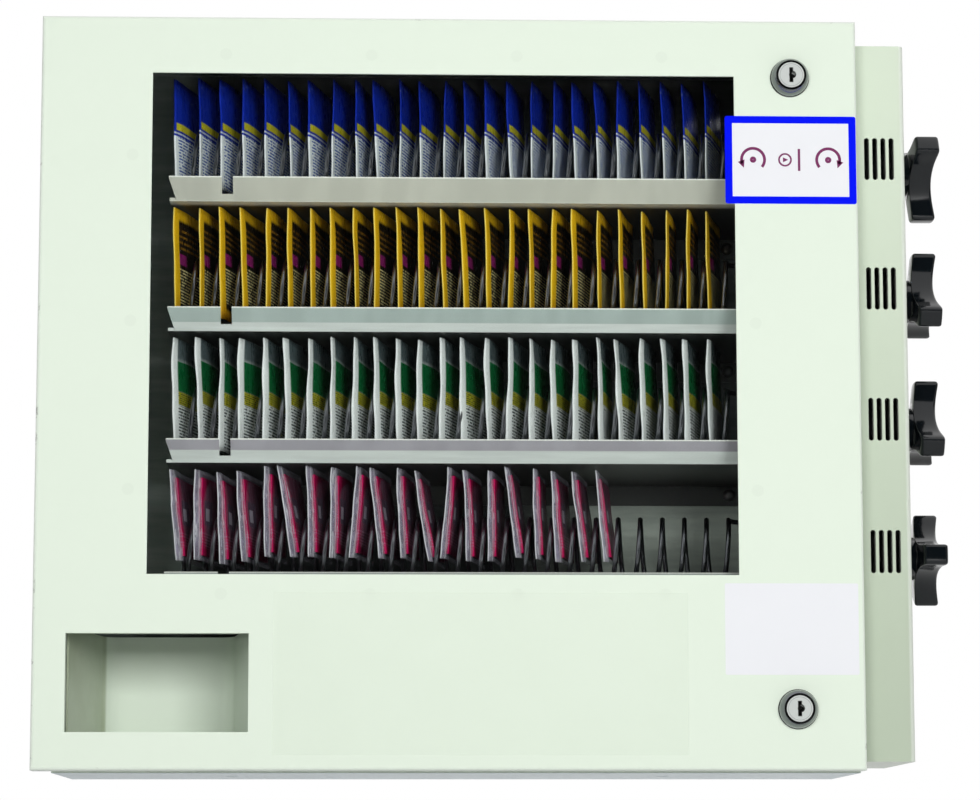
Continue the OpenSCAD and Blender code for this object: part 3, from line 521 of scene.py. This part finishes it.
def paint_blue(tree, u, v, tone):
    """Silver white below with fine blue lines, blue and yellow stripes, and a deep blue head."""
    lines = both(tree, fine_lines(tree, u, v, tone, 36.0, 0.5), ramp(tree, u, 0.06, 0.1))
    base = blend_color(tree, lines, (0.93, 0.97, 0.98, 1), (0.03, 0.1, 0.42, 1))
    grain = add_node(tree, "ShaderNodeCombineXYZ", X=math_node(tree, "MULTIPLY", u, 7.0),
                     Y=math_node(tree, "MULTIPLY", v, 26.0), Z=tone)
    streak = both(tree, ramp(tree, noise(tree, grain.outputs[0], 1.0), 0.6, 0.7), ramp(tree, v, 0.82, 0.88))
    head = blend_color(tree, math_node(tree, "MULTIPLY", streak, 0.35), (0.008, 0.03, 0.42, 1),
                       (0.3, 0.38, 0.6, 1))
    base = blend_color(tree, ramp(tree, v, 0.485, 0.495), base, head)
    base = blend_color(tree, band(tree, v, 0.51, 0.525), base, (0.7, 0.75, 0.8, 1))
    return blend_color(tree, both(tree, band(tree, v, 0.545, 0.61), ramp(tree, u, 0.03, 0.05)), base,
                       (0.72, 0.64, 0.03, 1))


def paint_amber(tree, u, v, tone):
    """Amber edge and ends round a black panel with a maroon patch and fine pale lines below it."""
    lines = both(tree, fine_lines(tree, u, v, tone, 36.0, 0.45), band(tree, v, 0.15, 0.47))
    small = both(tree, fine_lines(tree, u, v, tone, 19.0, 0.4), band(tree, v, 0.62, 0.84))
    dark = blend_color(tree, lines, (0.016, 0.012, 0.008, 1), (0.9, 0.8, 0.4, 1))
    dark = blend_color(tree, math_node(tree, "MULTIPLY", small, 0.7), dark, (0.4, 0.2, 0.02, 1))
    dark = blend_color(tree, both(tree, band(tree, v, 0.5, 0.6), ramp(tree, u, 0.4, 0.3)), dark,
                       (0.3, 0.02, 0.17, 1))
    panel = both(tree, ramp(tree, u, 0.12, 0.14), band(tree, v, 0.09, 0.9, 0.02))
    edge = blend_color(tree, ramp(tree, v, 0.25, 0.0), (0.88, 0.52, 0.012, 1), (0.6, 0.28, 0.01, 1))
    edge = blend_color(tree, ramp(tree, u, 0.02, 0.0), edge, (0.92, 0.72, 0.16, 1))
    return blend_color(tree, panel, edge, dark)


def paint_green(tree, u, v, tone):
    """Silver film with a green block, a yellow band with dark lines, and rows of dark dashes below."""
    face = ramp(tree, u, 0.1, 0.13)
    lines = both(tree, fine_lines(tree, u, v, tone, 36.0, 0.5), band(tree, v, 0.03, 0.4))
    base = blend_color(tree, both(tree, lines, face), (0.95, 0.98, 0.97, 1), (0.03, 0.05, 0.06, 1))
    top = both(tree, ramp(tree, v, 0.76, 0.84), face)
    base = blend_color(tree, top, base, (0.13, 0.17, 0.18, 1))
    base = blend_color(tree, both(tree, band(tree, v, 0.53, 0.8), face), base, (0.008, 0.17, 0.05, 1))
    stripe = blend_color(tree, fine_lines(tree, u, v, tone, 52.0), (0.62, 0.58, 0.04, 1),
                         (0.09, 0.1, 0.02, 1))
    return blend_color(tree, both(tree, band(tree, v, 0.41, 0.53), face), base, stripe)


def paint_card(tree, u, v, tone):
    """Crimson card at the front edge, darkening towards the back as painted shade, with faint pale lines low
    down, a small dark block and a grey panel in it.
    """
    # Painted shade: the card's face darkens from its front edge back.
    base = blend_color(tree, ramp(tree, u, 0.02, 0.25), (0.5, 0.006, 0.09, 1), (0.1, 0.004, 0.026, 1))
    lines = both(tree, fine_lines(tree, u, v, tone, 26.0), band(tree, v, 0.1, 0.3))
    base = blend_color(tree, math_node(tree, "MULTIPLY", lines, 0.35), base, (0.6, 0.3, 0.42, 1))
    block = both(tree, band(tree, u, 0.12, 0.5), band(tree, v, 0.4, 0.72))
    base = blend_color(tree, block, base, (0.05, 0.012, 0.035, 1))
    return blend_color(tree, both(tree, band(tree, u, 0.18, 0.36), band(tree, v, 0.46, 0.62)), base,
                       (0.45, 0.42, 0.48, 1))


def bag_film(name, color, alpha):
    """Clear film of a bag: denser and whiter along its welded edges, with painted highlight streaks near the
    front and crinkles in the gloss.
    """
    mat, tree, skin = new_material(name)
    u, v, _ = split(tree, add_node(tree, "ShaderNodeUVMap", {"uv_map": "UVMap"}).outputs[0])
    crinkle = noise(tree, object_place(tree, (1, 1, 0.5)), 150.0, 4.0)
    weld_and_glint = math_node(tree, "MAXIMUM", band(tree, u, -0.1, 0.014), band(tree, u, 0.075, 0.085))
    ends = math_node(tree, "MAXIMUM", ramp(tree, v, 0.05, 0.03), ramp(tree, v, 0.95, 0.97))
    weld_and_glint = math_node(tree, "MAXIMUM", weld_and_glint, math_node(tree, "MULTIPLY", ends, 0.35))
    front = ramp(tree, u, 0.2, 0.1, 0.35, 1.0)
    cover = both(tree, front, ramp(tree, crinkle, 0.3, 0.75, alpha * 0.6, alpha * 1.7))
    tone, _, _ = split(tree, add_node(tree, "ShaderNodeUVMap", {"uv_map": "Tone"}).outputs[0])
    # Painted highlight: white streaks in the film near the front.
    grain = add_node(tree, "ShaderNodeCombineXYZ", X=math_node(tree, "MULTIPLY", u, 60.0),
                     Y=math_node(tree, "MULTIPLY", v, 5.0), Z=math_node(tree, "MULTIPLY", tone, 50.0))
    streak = both(tree, ramp(tree, noise(tree, grain.outputs[0], 1.0, 3.0), 0.52, 0.66),
                  ramp(tree, u, 0.2, 0.12))
    weld_and_glint = math_node(tree, "MAXIMUM", weld_and_glint, math_node(tree, "MULTIPLY", streak, 0.9))
    join(tree, math_node(tree, "MAXIMUM", cover, math_node(tree, "MULTIPLY", weld_and_glint, 0.75)),
         skin.inputs["Alpha"])
    join(tree, blend_color(tree, weld_and_glint, color, (0.9, 0.9, 0.94, 1)), skin.inputs["Base Color"])
    skin.inputs["Roughness"].default_value = 0.2
    bump(tree, skin, crinkle, 0.35, 0.0008)
    return mat


# Finishes

CABINET_INSIDE = ((-0.2416, 0.2516), (-0.1276, -0.0014), (-0.2336, 0.2336))
FINISH = {
    "cream_enamel": enamel("cream_enamel", CREAM, drift=0.03),
    "door_enamel": enamel("door_enamel", CREAM, drift=0.015, paint=paint_door),
    # Painted shade: the coin housing is a darker copy of the cream.
    "housing_enamel": enamel("housing_enamel", (0.69, 0.78, 0.64, 1), drift=0.03, paint=paint_housing),
    "bin_enamel": enamel("bin_enamel", CREAM, drift=0.03, paint=paint_bin),
    "plug_satin": enamel("plug_satin", (0.6, 0.63, 0.61, 1), drift=0.15, gloss=0.3, peel=0.02,
                         paint=paint_plug),
    "cabinet_enamel": enamel("cabinet_enamel", CREAM, drift=0.02, paint=paint_inside),
    "tray_enamel": enamel("tray_enamel", (0.72, 0.76, 0.73, 1), drift=0.1, gloss=0.34, coat=0.1,
                          paint=paint_tray),
    "plain_steel": metal("plain_steel", (0.55, 0.56, 0.57, 1), gloss=0.36),
    "spiral_wire": metal("spiral_wire", (0.25, 0.26, 0.28, 1), gloss=0.33, depth=0.2,
                         stretch=(300, 300, 300), relief=0.02),
    "bush_bronze": metal("bush_bronze", (0.62, 0.43, 0.2, 1), gloss=0.3),
    # Painted reflection: the chrome gets a dark colour, standing in for the dark surroundings it mirrors.
    "lock_chrome": metal("lock_chrome", (0.2, 0.21, 0.22, 1), gloss=0.1, depth=0.08, stretch=(60, 60, 60),
                         relief=0.01),
    "knob_black": moulded("knob_black", (0.004, 0.006, 0.008, 1), gloss=0.12, coat=0.3),
    "hub_plastic": moulded("hub_plastic", (0.05, 0.05, 0.055, 1), gloss=0.5, coat=0.0),
    "coin_zinc": metal("coin_zinc", (0.42, 0.42, 0.4, 1), gloss=0.45),
    "clear_pane": clear_sheet("clear_pane", (0.97, 0.985, 0.98, 1)),
    "packet_blue": packet_print("packet_blue", paint_blue),
    "packet_yellow": packet_print("packet_yellow", paint_amber, foil=0.0),
    "packet_green": packet_print("packet_green", paint_green),
    "packet_pink": packet_print("packet_pink", paint_card, foil=0.0, gloss=0.4),
    "bag_film": bag_film("bag_film", (0.56, 0.5, 0.66, 1), 0.3),
    "film_clear": thin_film("film_clear", (0.8, 0.86, 0.76, 1), 0.04, gloss=0.6, peel=0.0, scale=6.0),
    "plate_white": enamel("plate_white", (0.82, 0.83, 0.86, 1), drift=0.03, gloss=0.35, peel=0.02,
                          coat=0.0, shine=0.2),
    "plate_blue": enamel("plate_blue", (0.002, 0.008, 0.9, 1), drift=0.06, gloss=0.35, peel=0.02, coat=0.0,
                         shine=0.1),
    "plate_ink": enamel("plate_ink", (0.2, 0.03, 0.12, 1), drift=0.1, gloss=0.4, peel=0.02, coat=0.0),
}


# Nodes whose enamel has marks of its own, and on some painted light and shade
OWN_FINISH = {"cabinet_shell": "cabinet_enamel", "front_frame": "cabinet_enamel", "door_pan": "door_enamel",
              "coin_housing": "housing_enamel", "delivery_bin": "bin_enamel",
              "lock_plug_upper": "plug_satin", "lock_plug_lower": "plug_satin"}


def dress_nodes():
    """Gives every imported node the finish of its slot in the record, or its own."""
    for part in frame["record"]["subparts"]:
        node, slot = part["node"], part["material_slot"]
        mesh = NODES[node].data
        mesh.materials.clear()
        mesh.materials.append(FINISH[OWN_FINISH.get(node, slot)])


# Spirals

def spiral_path(row, rings_per_turn=36):
    """Centre line of a spiral and its heading: a helix, a bend out of the turn, then straight to the hub.

    On the unrolled cylinder the helix is a slanted line, and the bend is an arc that turns it along X.
    """
    radius = COIL_R - WIRE_R
    lead = math.atan(COIL_PITCH / (2 * math.pi * radius))
    bend_r = 4 * WIRE_R
    t = np.linspace(0, COIL_TURNS, COIL_TURNS * rings_per_turn + 1)
    h = np.linspace(lead, math.pi / 2, 9)[1:]
    end_x = COIL_X + COIL_TURNS * COIL_PITCH
    hub_x = end_x + bend_r * math.cos(lead) + 2 * WIRE_R
    arc = np.concatenate([2 * math.pi * radius * t,
                          2 * math.pi * radius * COIL_TURNS + bend_r * (np.sin(h) - math.sin(lead))])
    x = np.concatenate([COIL_X + COIL_PITCH * t, end_x + bend_r * (math.cos(lead) - np.cos(h))])
    heading = np.concatenate([np.full(len(t), lead), h])
    arc, x, heading = np.append(arc, arc[-1]), np.append(x, hub_x), np.append(heading, math.pi / 2)
    turn = arc / radius
    center = np.stack([x, AXIS_Y + radius * np.sin(turn), axis_z(row) + radius * np.cos(turn)], -1)
    return center, turn, heading


def spiral_coil(row, sides=10):
    """A round wire swept along the spiral path, each ring square to the heading, with a round free end."""
    center, turn, heading = spiral_path(row)
    out = np.stack([np.zeros_like(turn), np.sin(turn), np.cos(turn)], -1)
    side = np.stack([-np.cos(heading), np.sin(heading) * np.cos(turn), -np.sin(heading) * np.sin(turn)], -1)
    # Shrinking rings in front of the free end close it as a half ball
    ball = np.radians(np.array([6.0, 30.0, 60.0]))
    ahead = np.cross(out[0], side[0])
    ahead *= np.sign(ahead @ (center[1] - center[0]))
    center = np.concatenate([center[0] - WIRE_R * np.cos(ball)[:, None] * ahead, center])
    radius = np.concatenate([WIRE_R * np.sin(ball), np.full(len(turn), WIRE_R)])
    out, side = (np.concatenate([np.repeat(a[:1], 3, 0), a]) for a in (out, side))
    a = 2 * math.pi * np.arange(sides) / sides
    points = center[:, None] + radius[:, None, None] * (np.cos(a)[None, :, None] * out[:, None]
                                                        + np.sin(a)[None, :, None] * side[:, None])
    rings = len(center)
    first = np.arange(sides)
    faces = [*grid_quads(rings, sides, wrap_cols=True)[:, ::-1], first, (rings * sides - sides + first)[::-1]]
    return add_piece(f"wire_spiral_{row}", points, faces, f"row_{row}_drive", "spiral_wire",
                     FINISH["spiral_wire"],
                     stands_for=[f"spiral_coil_{row}"])


# Packets

def closed_lens_faces(levels, half_count):
    """Quads of a lens section carried over levels, with its two ends closed by strips across the lens."""
    n = 2 * half_count
    skin = grid_quads(levels, n, wrap_cols=True)
    i = np.arange(half_count - 1)
    strip = np.stack([i, i + 1, n - 2 - i, n - 1 - i], -1)
    return np.concatenate([skin, strip[:, ::-1], strip + (levels - 1) * n])


class PacketRow:
    """Sheets that stand between the turns of a spiral, each bent like a J in plan.

    Seen from above a sheet runs back from its front edge at an angle of yaw, to which a curl is added that
    fades to nothing at the share fade of its width. Adding up the sine and cosine of that angle gives its
    line, which is moved so that its middle stands at the middle of its turn. Seeded waves of sway_deg vary the
    angle up the sheet, and loose is how far the sheets drop and lean.
    """

    def __init__(self, row, count, width, low, high, yaw, curl, fade, sway_deg, loose, shift, seed):
        self.count = count
        rng = np.random.default_rng(seed)

        def vary(size):
            return rng.normal(0, size, (count, 1, 1)).clip(-2 * size, 2 * size)

        self.s = np.concatenate([np.linspace(0, 0.3, 10), np.linspace(0.3, 1, 7)[1:]])
        self.v = np.linspace(0, 1, 19)
        s, v = self.s[None, None, :], self.v[None, :, None]
        phase = 2 * np.pi * rng.random((count, 1, 1))
        sway = np.sin(2 * np.pi * v * (0.9 + vary(0.25)) + phase) + 0.5 * np.sin(2 * np.pi * v * 2.3 + 2.1
                                                                                 * phase)
        bend = np.clip(1 - s / fade, 0, 1)
        self.angle = np.radians(yaw + vary(1.5)
                                + (curl * (1 + 0.4 * (0.5 - v)) + vary(5) + sway_deg * sway) * bend)
        step = np.diff(self.s, prepend=0)[None, None, :] * width
        mid = int(np.argmin(np.abs(self.s - 0.55)))
        x = np.cumsum(np.sin(self.angle) * step, -1)
        y = np.cumsum(np.cos(self.angle) * step, -1)
        slack = 0.35 * MM * np.sin(2 * np.pi * (1.3 * v + s) + phase) * v
        lean = (vary(1.3 * loose) - 1.4 * MM) * (v - 0.4)
        k = np.arange(count)[:, None, None]
        self.x = COIL_X + (k + 0.5) * COIL_PITCH + shift + x - x[..., mid:mid + 1] + slack + lean
        self.y = AXIS_Y + y - y[..., mid:mid + 1] + 1.0 * MM
        drop = 0.8 * np.abs(vary(loose))
        ripple = 0.4 * MM * np.sin(6 * s + phase) * (v - 0.3)
        self.z = axis_z(row) + low + v * (high - low) - drop + ripple
        self.tone = rng.random((count, 1, 1, 1))

    def solid(self, half, first=0, last=None, low=0.0, high=1.0):
        """Closed surface at a distance half(s, v) on both sides of the sheets, for a span of s and v."""
        pick = slice(first, last)
        s = self.s[pick]
        side = np.concatenate([np.ones(len(s)), -np.ones(len(s))])

        def loop(a):
            a = np.broadcast_to(a, (self.count, len(self.v), len(self.s)))[..., pick]
            return np.concatenate([a, a[..., ::-1]], -1)

        off = loop(half(self.s[None, None, :], self.v[None, :, None])) * side
        z = loop(self.z)
        bottom, top = z[:, :1], z[:, -1:]
        z = bottom + (top - bottom) * low + (z - bottom) * (high - low)
        points = np.stack([loop(self.x) + off * np.cos(loop(self.angle)), loop(self.y) - off
                           * np.sin(loop(self.angle)),
                           z], -1)
        span = (s - s[0]) / (s[-1] - s[0])
        u = np.broadcast_to(np.concatenate([span, span[::-1]]), z.shape)
        v = np.broadcast_to(self.v[None, :, None], z.shape)
        tone = np.broadcast_to(self.tone, points.shape[:3] + (2,))
        faces = repeat_faces(closed_lens_faces(len(self.v), len(s)), self.count, len(self.v) * 2 * len(s))
        return points, faces, np.stack([u, v], -1), tone


def bulge(s, v, start=0.1):
    """Round swelling behind the front seam, flat at the seals: a half sine over s and v with steep ends."""
    over = np.sin(np.pi * np.clip((s - start) / (0.97 - start), 0, 1)) ** 0.6
    return over * np.sin(np.pi * np.clip((v - 0.06) / 0.88, 0, 1)) ** 0.5


def sealed_packets(row, slot, seed, curl, fade, sway):
    """The flat packets of one of the upper rows."""
    sheets = PacketRow(row, COIL_TURNS, PACKET_WIDTH, PACKET_LOW, PACKET_HIGH, PACKET_YAW, curl, fade, sway,
                       1.0 * MM, PACKET_SHIFT, seed)
    points, faces, uv, tone = sheets.solid(lambda s, v: 0.3 * MM + 0.9 * MM * bulge(s, v) * (0.6 + 0.4 * v))
    add_piece(f"sealed_packets_{row}", points, faces, f"row_{row}_stock", slot, FINISH[slot], uv, tone,
              stands_for=[f"packets_{row}"])


def bagged_cards(row=4, count=20):
    """Cards in clear bags: a stiff card in a looser bag of film with a wide welded edge in front."""
    bags = PacketRow(row, count, BAG_WIDTH, BAG_LOW, BAG_HIGH, BAG_YAW, 40, 0.16, 5, 3.2 * MM, BAG_SHIFT, 41)
    card = bags.solid(lambda s, v: 1.3 * MM + 0 * s * v, 4, 15, 0.06, 0.92)
    add_piece("bagged_cards", *card[:2], "row_4_stock", "packet_pink", FINISH["packet_pink"], *card[2:],
              smooth=False,
              stands_for=["packets_4"])
    film = bags.solid(lambda s, v: 0.25 * MM + 2.2 * MM * bulge(s, v, 0.08))
    add_piece("clear_bags", *film[:2], "row_4_stock", "packet_pink", FINISH["bag_film"], *film[2:])


# Knobs

KNOB_TURNS = (180, 0, 0, 270)
KNOB_R = 31 * MM
KNOB_HUB_R = 12.5 * MM
KNOB_X0 = 288.3 * MM
LOBE_X = KNOB_X0 + 7.5 * MM
KNOB_LEAN = 2 * MM
KNOB_END = KNOB_X0 + 21 * MM
KNOB_DISH = 3.5 * MM
NECK_R = 14 * MM


def knob_outline(count=240):
    """Radius over angle of the three lobes: hollows are arcs of an outer circle, and corners are eased."""
    hollow_x, hollow_r = 51.5 * MM, 38 * MM
    angle = 2 * math.pi * np.arange(count) / count
    off = np.mod(angle, 2 * math.pi / 3) - math.pi / 3
    inside = hollow_r ** 2 - (hollow_x * np.sin(off)) ** 2
    reach = np.where(inside > 0, hollow_x * np.cos(off) - np.sqrt(np.clip(inside, 0, None)), KNOB_R)
    radius = np.clip(reach, KNOB_HUB_R, KNOB_R)
    spread = np.fft.rfftfreq(count, 1 / count)
    return angle, np.fft.irfft(np.fft.rfft(radius) * np.exp(-0.5 * (spread / 34) ** 2), count)


def star_knob(row):
    """Rings from the housing outwards: neck, leaning back of the lobes, rounded rim, dished face, middle."""
    angle, radius = knob_outline()
    share = np.clip((radius - KNOB_HUB_R) / (KNOB_R - KNOB_HUB_R), 0, 1)
    dish_r = (KNOB_R ** 2 + KNOB_DISH ** 2) / (2 * KNOB_DISH)
    back_x = LOBE_X + KNOB_LEAN * share
    face_x = KNOB_END + dish_r - np.sqrt(dish_r ** 2 - radius ** 2)
    ease = 1.8 * MM
    rings = [(KNOB_X0 + h, np.full_like(radius, r)) for h, r in
             ((0, 0.1 * MM), (0, NECK_R - 0.4 * MM), (0.4 * MM, NECK_R), (3.0 * MM, NECK_R),
              (3.3 * MM, NECK_R - 0.4 * MM),
              (7.0 * MM, NECK_R - 0.4 * MM))]
    for t in (0.0, 0.3, 0.6, 0.85):
        r = KNOB_HUB_R + (radius - KNOB_HUB_R - ease * share) * t
        rings.append((LOBE_X + KNOB_LEAN * share * t, r))
    for a in np.radians((8, 35, 62, 90)):
        rings.append((back_x + ease * share * (1 - np.cos(a)), radius - ease * share * (1 - np.sin(a))))
    for a in np.radians((90, 62, 35, 8)):
        rings.append((face_x - ease * (1 - np.cos(a)), radius - ease * (1 - np.sin(a))))
    for t in (0.88, 0.7, 0.5, 0.3, 0.12, 0.01):
        r = (radius - ease) * t
        rings.append((KNOB_END + dish_r - np.sqrt(dish_r ** 2 - r ** 2), r))
    x = np.stack([np.broadcast_to(a, radius.shape) for a, _ in rings])
    r = np.stack([b for _, b in rings])
    turned = angle + math.radians(KNOB_TURNS[row - 1])
    points = np.stack([x, AXIS_Y + r * np.sin(turned), axis_z(row) + r * np.cos(turned)], -1)
    count = len(angle)
    faces = [*grid_quads(len(rings), count, wrap_cols=True)[:, ::-1], np.arange(count),
             (len(rings) - 1) * count + np.arange(count)[::-1]]
    add_piece(f"star_knob_{row}", points, faces, f"row_{row}_drive", "knob_black", FINISH["knob_black"],
              stands_for=[f"knob_{row}"])


# Plates on the door

def rounded_plate(x0, x1, z0, z1, corner, inset=0.0, arc=7):
    """Corner-rounded outline in X and Z, as points in order round the plate."""
    a = np.radians(np.concatenate([np.linspace(q, q + 90, arc) for q in (0, 90, 180, 270)]))
    r = max(corner - inset, 0.2 * MM)
    cx = np.repeat([x1 - inset - r, x0 + inset + r, x0 + inset + r, x1 - inset - r], arc)
    cz = np.repeat([z1 - inset - r, z1 - inset - r, z0 + inset + r, z0 + inset + r], arc)
    return np.stack([cx + r * np.cos(a), cz + r * np.sin(a)], -1)


def prisms(outlines, thick, lift):
    """Thin upright prisms on the door: each outline (x, z), anticlockwise from the front, twice over."""
    points, faces, start = [], [], 0
    for outline in outlines:
        n = len(outline)
        for height in (lift, lift + thick):
            points.append(np.stack([outline[:, 0], np.full(n, DOOR_Y - height), outline[:, 1]], -1))
        ring = start + np.arange(n)
        faces += [ring[::-1], ring + n,
                  *np.stack([ring, np.roll(ring, -1), np.roll(ring, -1) + n, ring + n], -1)]
        start += 2 * n
    return np.concatenate(points), faces


def flat_plate(name, outlines, thick, lift, finish):
    """Plates or inked shapes of one thickness on the door."""
    points, faces = prisms(outlines, thick, lift)
    add_piece(name, points, faces, "door", "cream_enamel", FINISH[finish], smooth=False)


def arc_band(x, z, inner, outer, start, end, count=24):
    """Outline of a part of a ring between two angles in degrees."""
    a = np.radians(np.linspace(start, end, count))[:, None]
    way = np.concatenate([np.cos(a), np.sin(a)], 1)
    return np.concatenate([(x, z) + outer * way, ((x, z) + inner * way)[::-1]])


def bar(x0, x1, z0, z1):
    """Outline of an upright rectangle."""
    return np.array([(x0, z0), (x1, z0), (x1, z1), (x0, z1)])


def arrow_head(x, z, turn, size):
    """Outline of a triangle whose tip points along an angle in degrees."""
    a = np.radians(turn + np.array([0.0, 130.0, 230.0]))
    return np.stack([x + size * np.cos(a), z + size * np.sin(a)], -1)


def step_marks(z=0.1449):
    """Plain pictures of the three steps: turn back, a coin into a slot, turn forward."""
    r = 7.2 * MM
    shapes = []
    for x, way in ((0.1885, 1), (0.2355, -1)):
        start, end = (-40, 200) if way > 0 else (-20, 220)
        shapes.append(arc_band(x, z, r - 0.9 * MM, r + 0.9 * MM, start, end))
        tip = math.radians(end if way > 0 else start)
        shapes.append(arrow_head(x + r * math.cos(tip), z + r * math.sin(tip), math.degrees(tip) + 90
                                 * way, 2.9 * MM))
        shapes.append(arc_band(x, z, 0.2 * MM, 2.0 * MM, 0, 359))
    shapes.append(arc_band(0.2085, z, 3.2 * MM, 4.3 * MM, 0, 359, 40))
    shapes.append(arrow_head(0.2085, z, 0, 2.0 * MM))
    shapes.append(bar(0.2165, 0.2180, z - 7 * MM, z + 7 * MM))
    return shapes


def door_plates():
    """A blue-bordered plate with the three steps, a bare white plate, and a bare clear film."""
    flat_plate("step_plate_border", [rounded_plate(0.171, 0.253, 0.117, 0.1727, 1.5 * MM)], 0.25 * MM, 0.0,
               "plate_blue")
    flat_plate("step_plate_panel", [rounded_plate(0.171, 0.253, 0.117, 0.1727, 2 * MM, 4.6 * MM)], 0.1
               * MM, 0.25 * MM,
               "plate_white")
    flat_plate("step_marks", step_marks(), 0.04 * MM, 0.35 * MM, "plate_ink")
    flat_plate("bare_plate", [rounded_plate(0.168, 0.250, -0.176, -0.120, 1 * MM)], 0.2 * MM, 0.0,
               "plate_white")
    flat_plate("clear_film", [rounded_plate(-0.1077, 0.1454, -0.2248, -0.126, 1 * MM)], 0.08 * MM, 0.05
               * MM, "film_clear")


dress_nodes()
for row in ROWS:
    spiral_coil(row)
    star_knob(row)
sealed_packets(1, "packet_blue", 11, 9, 0.2, 3)
sealed_packets(2, "packet_yellow", 23, 20, 0.16, 3)
sealed_packets(3, "packet_green", 37, 30, 0.18, 8)
bagged_cards()
door_plates()


# Stage, light and camera

def look_at(obj, place, target):
    """Turns a lamp at place so that it points at the target."""
    aim = Vector(target) - Vector(place)
    obj.matrix_world = Matrix.Translation(place) @ aim.to_track_quat("-Z", "Y").to_matrix().to_4x4()


def add_lamp(name, place, target, size, power):
    """A square soft lamp, which leaves no glare on the pane or the enamel."""
    lamp = bpy.data.lights.new(name, "AREA")
    lamp.shape = "SQUARE"
    lamp.size = size
    lamp.energy = power
    obj = bpy.data.objects.new(name, lamp)
    bpy.context.scene.collection.objects.link(obj)
    look_at(obj, place, target)
    obj.visible_camera = False
    obj.visible_glossy = False
    obj.visible_transmission = False


def dark_card(name, place, target, width, height):
    """A black board that only reflections show, so that bright metal has something dark to mirror."""
    half = np.array([width / 2, height / 2])
    corners = np.array([(-1, -1), (1, -1), (1, 1), (-1, 1)]) * half
    mesh = bpy.data.meshes.new(name)
    mesh.from_pydata([(x, y, 0) for x, y in corners.tolist()], [], [(0, 1, 2, 3)])
    mat, tree, skin = new_material(name)
    shade = noise(tree, object_place(tree), 1.5)
    join(tree, blend_color(tree, shade, (0.01, 0.01, 0.01, 1), (0.03, 0.03, 0.03, 1)),
         skin.inputs["Base Color"])
    skin.inputs["Roughness"].default_value = 0.9
    mesh.materials.append(mat)
    card = bpy.data.objects.new(name, mesh)
    bpy.context.scene.collection.objects.link(card)
    look_at(card, place, target)
    card.visible_camera = False
    card.visible_diffuse = False
    card.visible_shadow = False


def set_stage():
    """A pale floor below the hanging cabinet, and a white surround that lights softly."""
    mesh = bpy.data.meshes.new("floor")
    half, z = 3.0, -0.36
    mesh.from_pydata([(-half, -half, z), (half, -half, z), (half, half, z), (-half, half, z)], [],
                     [(0, 1, 2, 3)])
    mat, tree, skin = new_material("floor_paint")
    shade = noise(tree, object_place(tree), 2.0)
    join(tree, blend_color(tree, shade, (0.86, 0.86, 0.86, 1), (0.9, 0.9, 0.9, 1)), skin.inputs["Base Color"])
    skin.inputs["Roughness"].default_value = 0.8
    mesh.materials.append(mat)
    floor = bpy.data.objects.new("floor", mesh)
    bpy.context.scene.collection.objects.link(floor)

    world = bpy.data.worlds.new("surround")
    bpy.context.scene.world = world
    world.use_nodes = True
    tree = world.node_tree
    tree.nodes.clear()
    path = add_node(tree, "ShaderNodeLightPath")
    seen = math_node(tree, "MAXIMUM", path.outputs["Is Camera Ray"],
                     math_node(tree, "MAXIMUM", path.outputs["Is Glossy Ray"],
                               path.outputs["Is Transmission Ray"]))
    light = add_node(tree, "ShaderNodeBackground", Color=(1, 1, 1, 1), Strength=0.16)
    white = add_node(tree, "ShaderNodeBackground", Color=(1, 1, 1, 1), Strength=1.0)
    mix = add_node(tree, "ShaderNodeMixShader", i0=seen, i1=light.outputs[0], i2=white.outputs[0])
    out = add_node(tree, "ShaderNodeOutputWorld")
    tree.links.new(mix.outputs[0], out.inputs["Surface"])


def set_camera():
    """The photograph's camera: low in front of the cabinet, tilted up, with its frame raised a little."""
    image_w, focal_px, raise_px = 980, 3139, 63
    place = Vector((-0.038, -2.059, -0.296))
    yaw, pitch, roll = math.radians(1.87), math.radians(7.45), math.radians(-0.06)
    cam = bpy.data.cameras.new("photo_camera")
    cam.sensor_width = 36
    cam.lens = focal_px / image_w * 36
    cam.shift_y = raise_px / image_w
    cam.clip_end = 50
    obj = bpy.data.objects.new("photo_camera", cam)
    bpy.context.scene.collection.objects.link(obj)
    ahead = Vector((math.sin(yaw) * math.cos(pitch), math.cos(yaw) * math.cos(pitch), math.sin(pitch)))
    turn = ahead.to_track_quat("-Z", "Y").to_matrix().to_4x4()
    obj.matrix_world = Matrix.Translation(place) @ turn @ Matrix.Rotation(roll, 4, "Z")
    bpy.context.scene.camera = obj


set_stage()
add_lamp("right_lamp", (0.65, -2.4, 0.2), (0.0, -0.15, 0.0), 0.6, 24)
add_lamp("left_lamp", (-0.5, -2.4, 0.2), (0.0, -0.15, 0.0), 0.6, 18)
add_lamp("back_lamp", (0.6, 2.2, 1.0), (0.0, 0.0, 0.0), 0.8, 26)
add_lamp("top_lamp", (0.1, 0.3, 2.2), (0.0, 0.0, -0.3), 1.0, 13)
dark_card("dark_card_front", (0.0, -3.2, 0.5), (0.0, -0.15, 0.5), 5.0, 3.2)
dark_card("dark_card_right", (1.5, -0.7, 0.2), (0.2, -0.15, 0.0), 0.9, 1.4)
set_camera()
bpy.context.scene.view_settings.view_transform = "Standard"
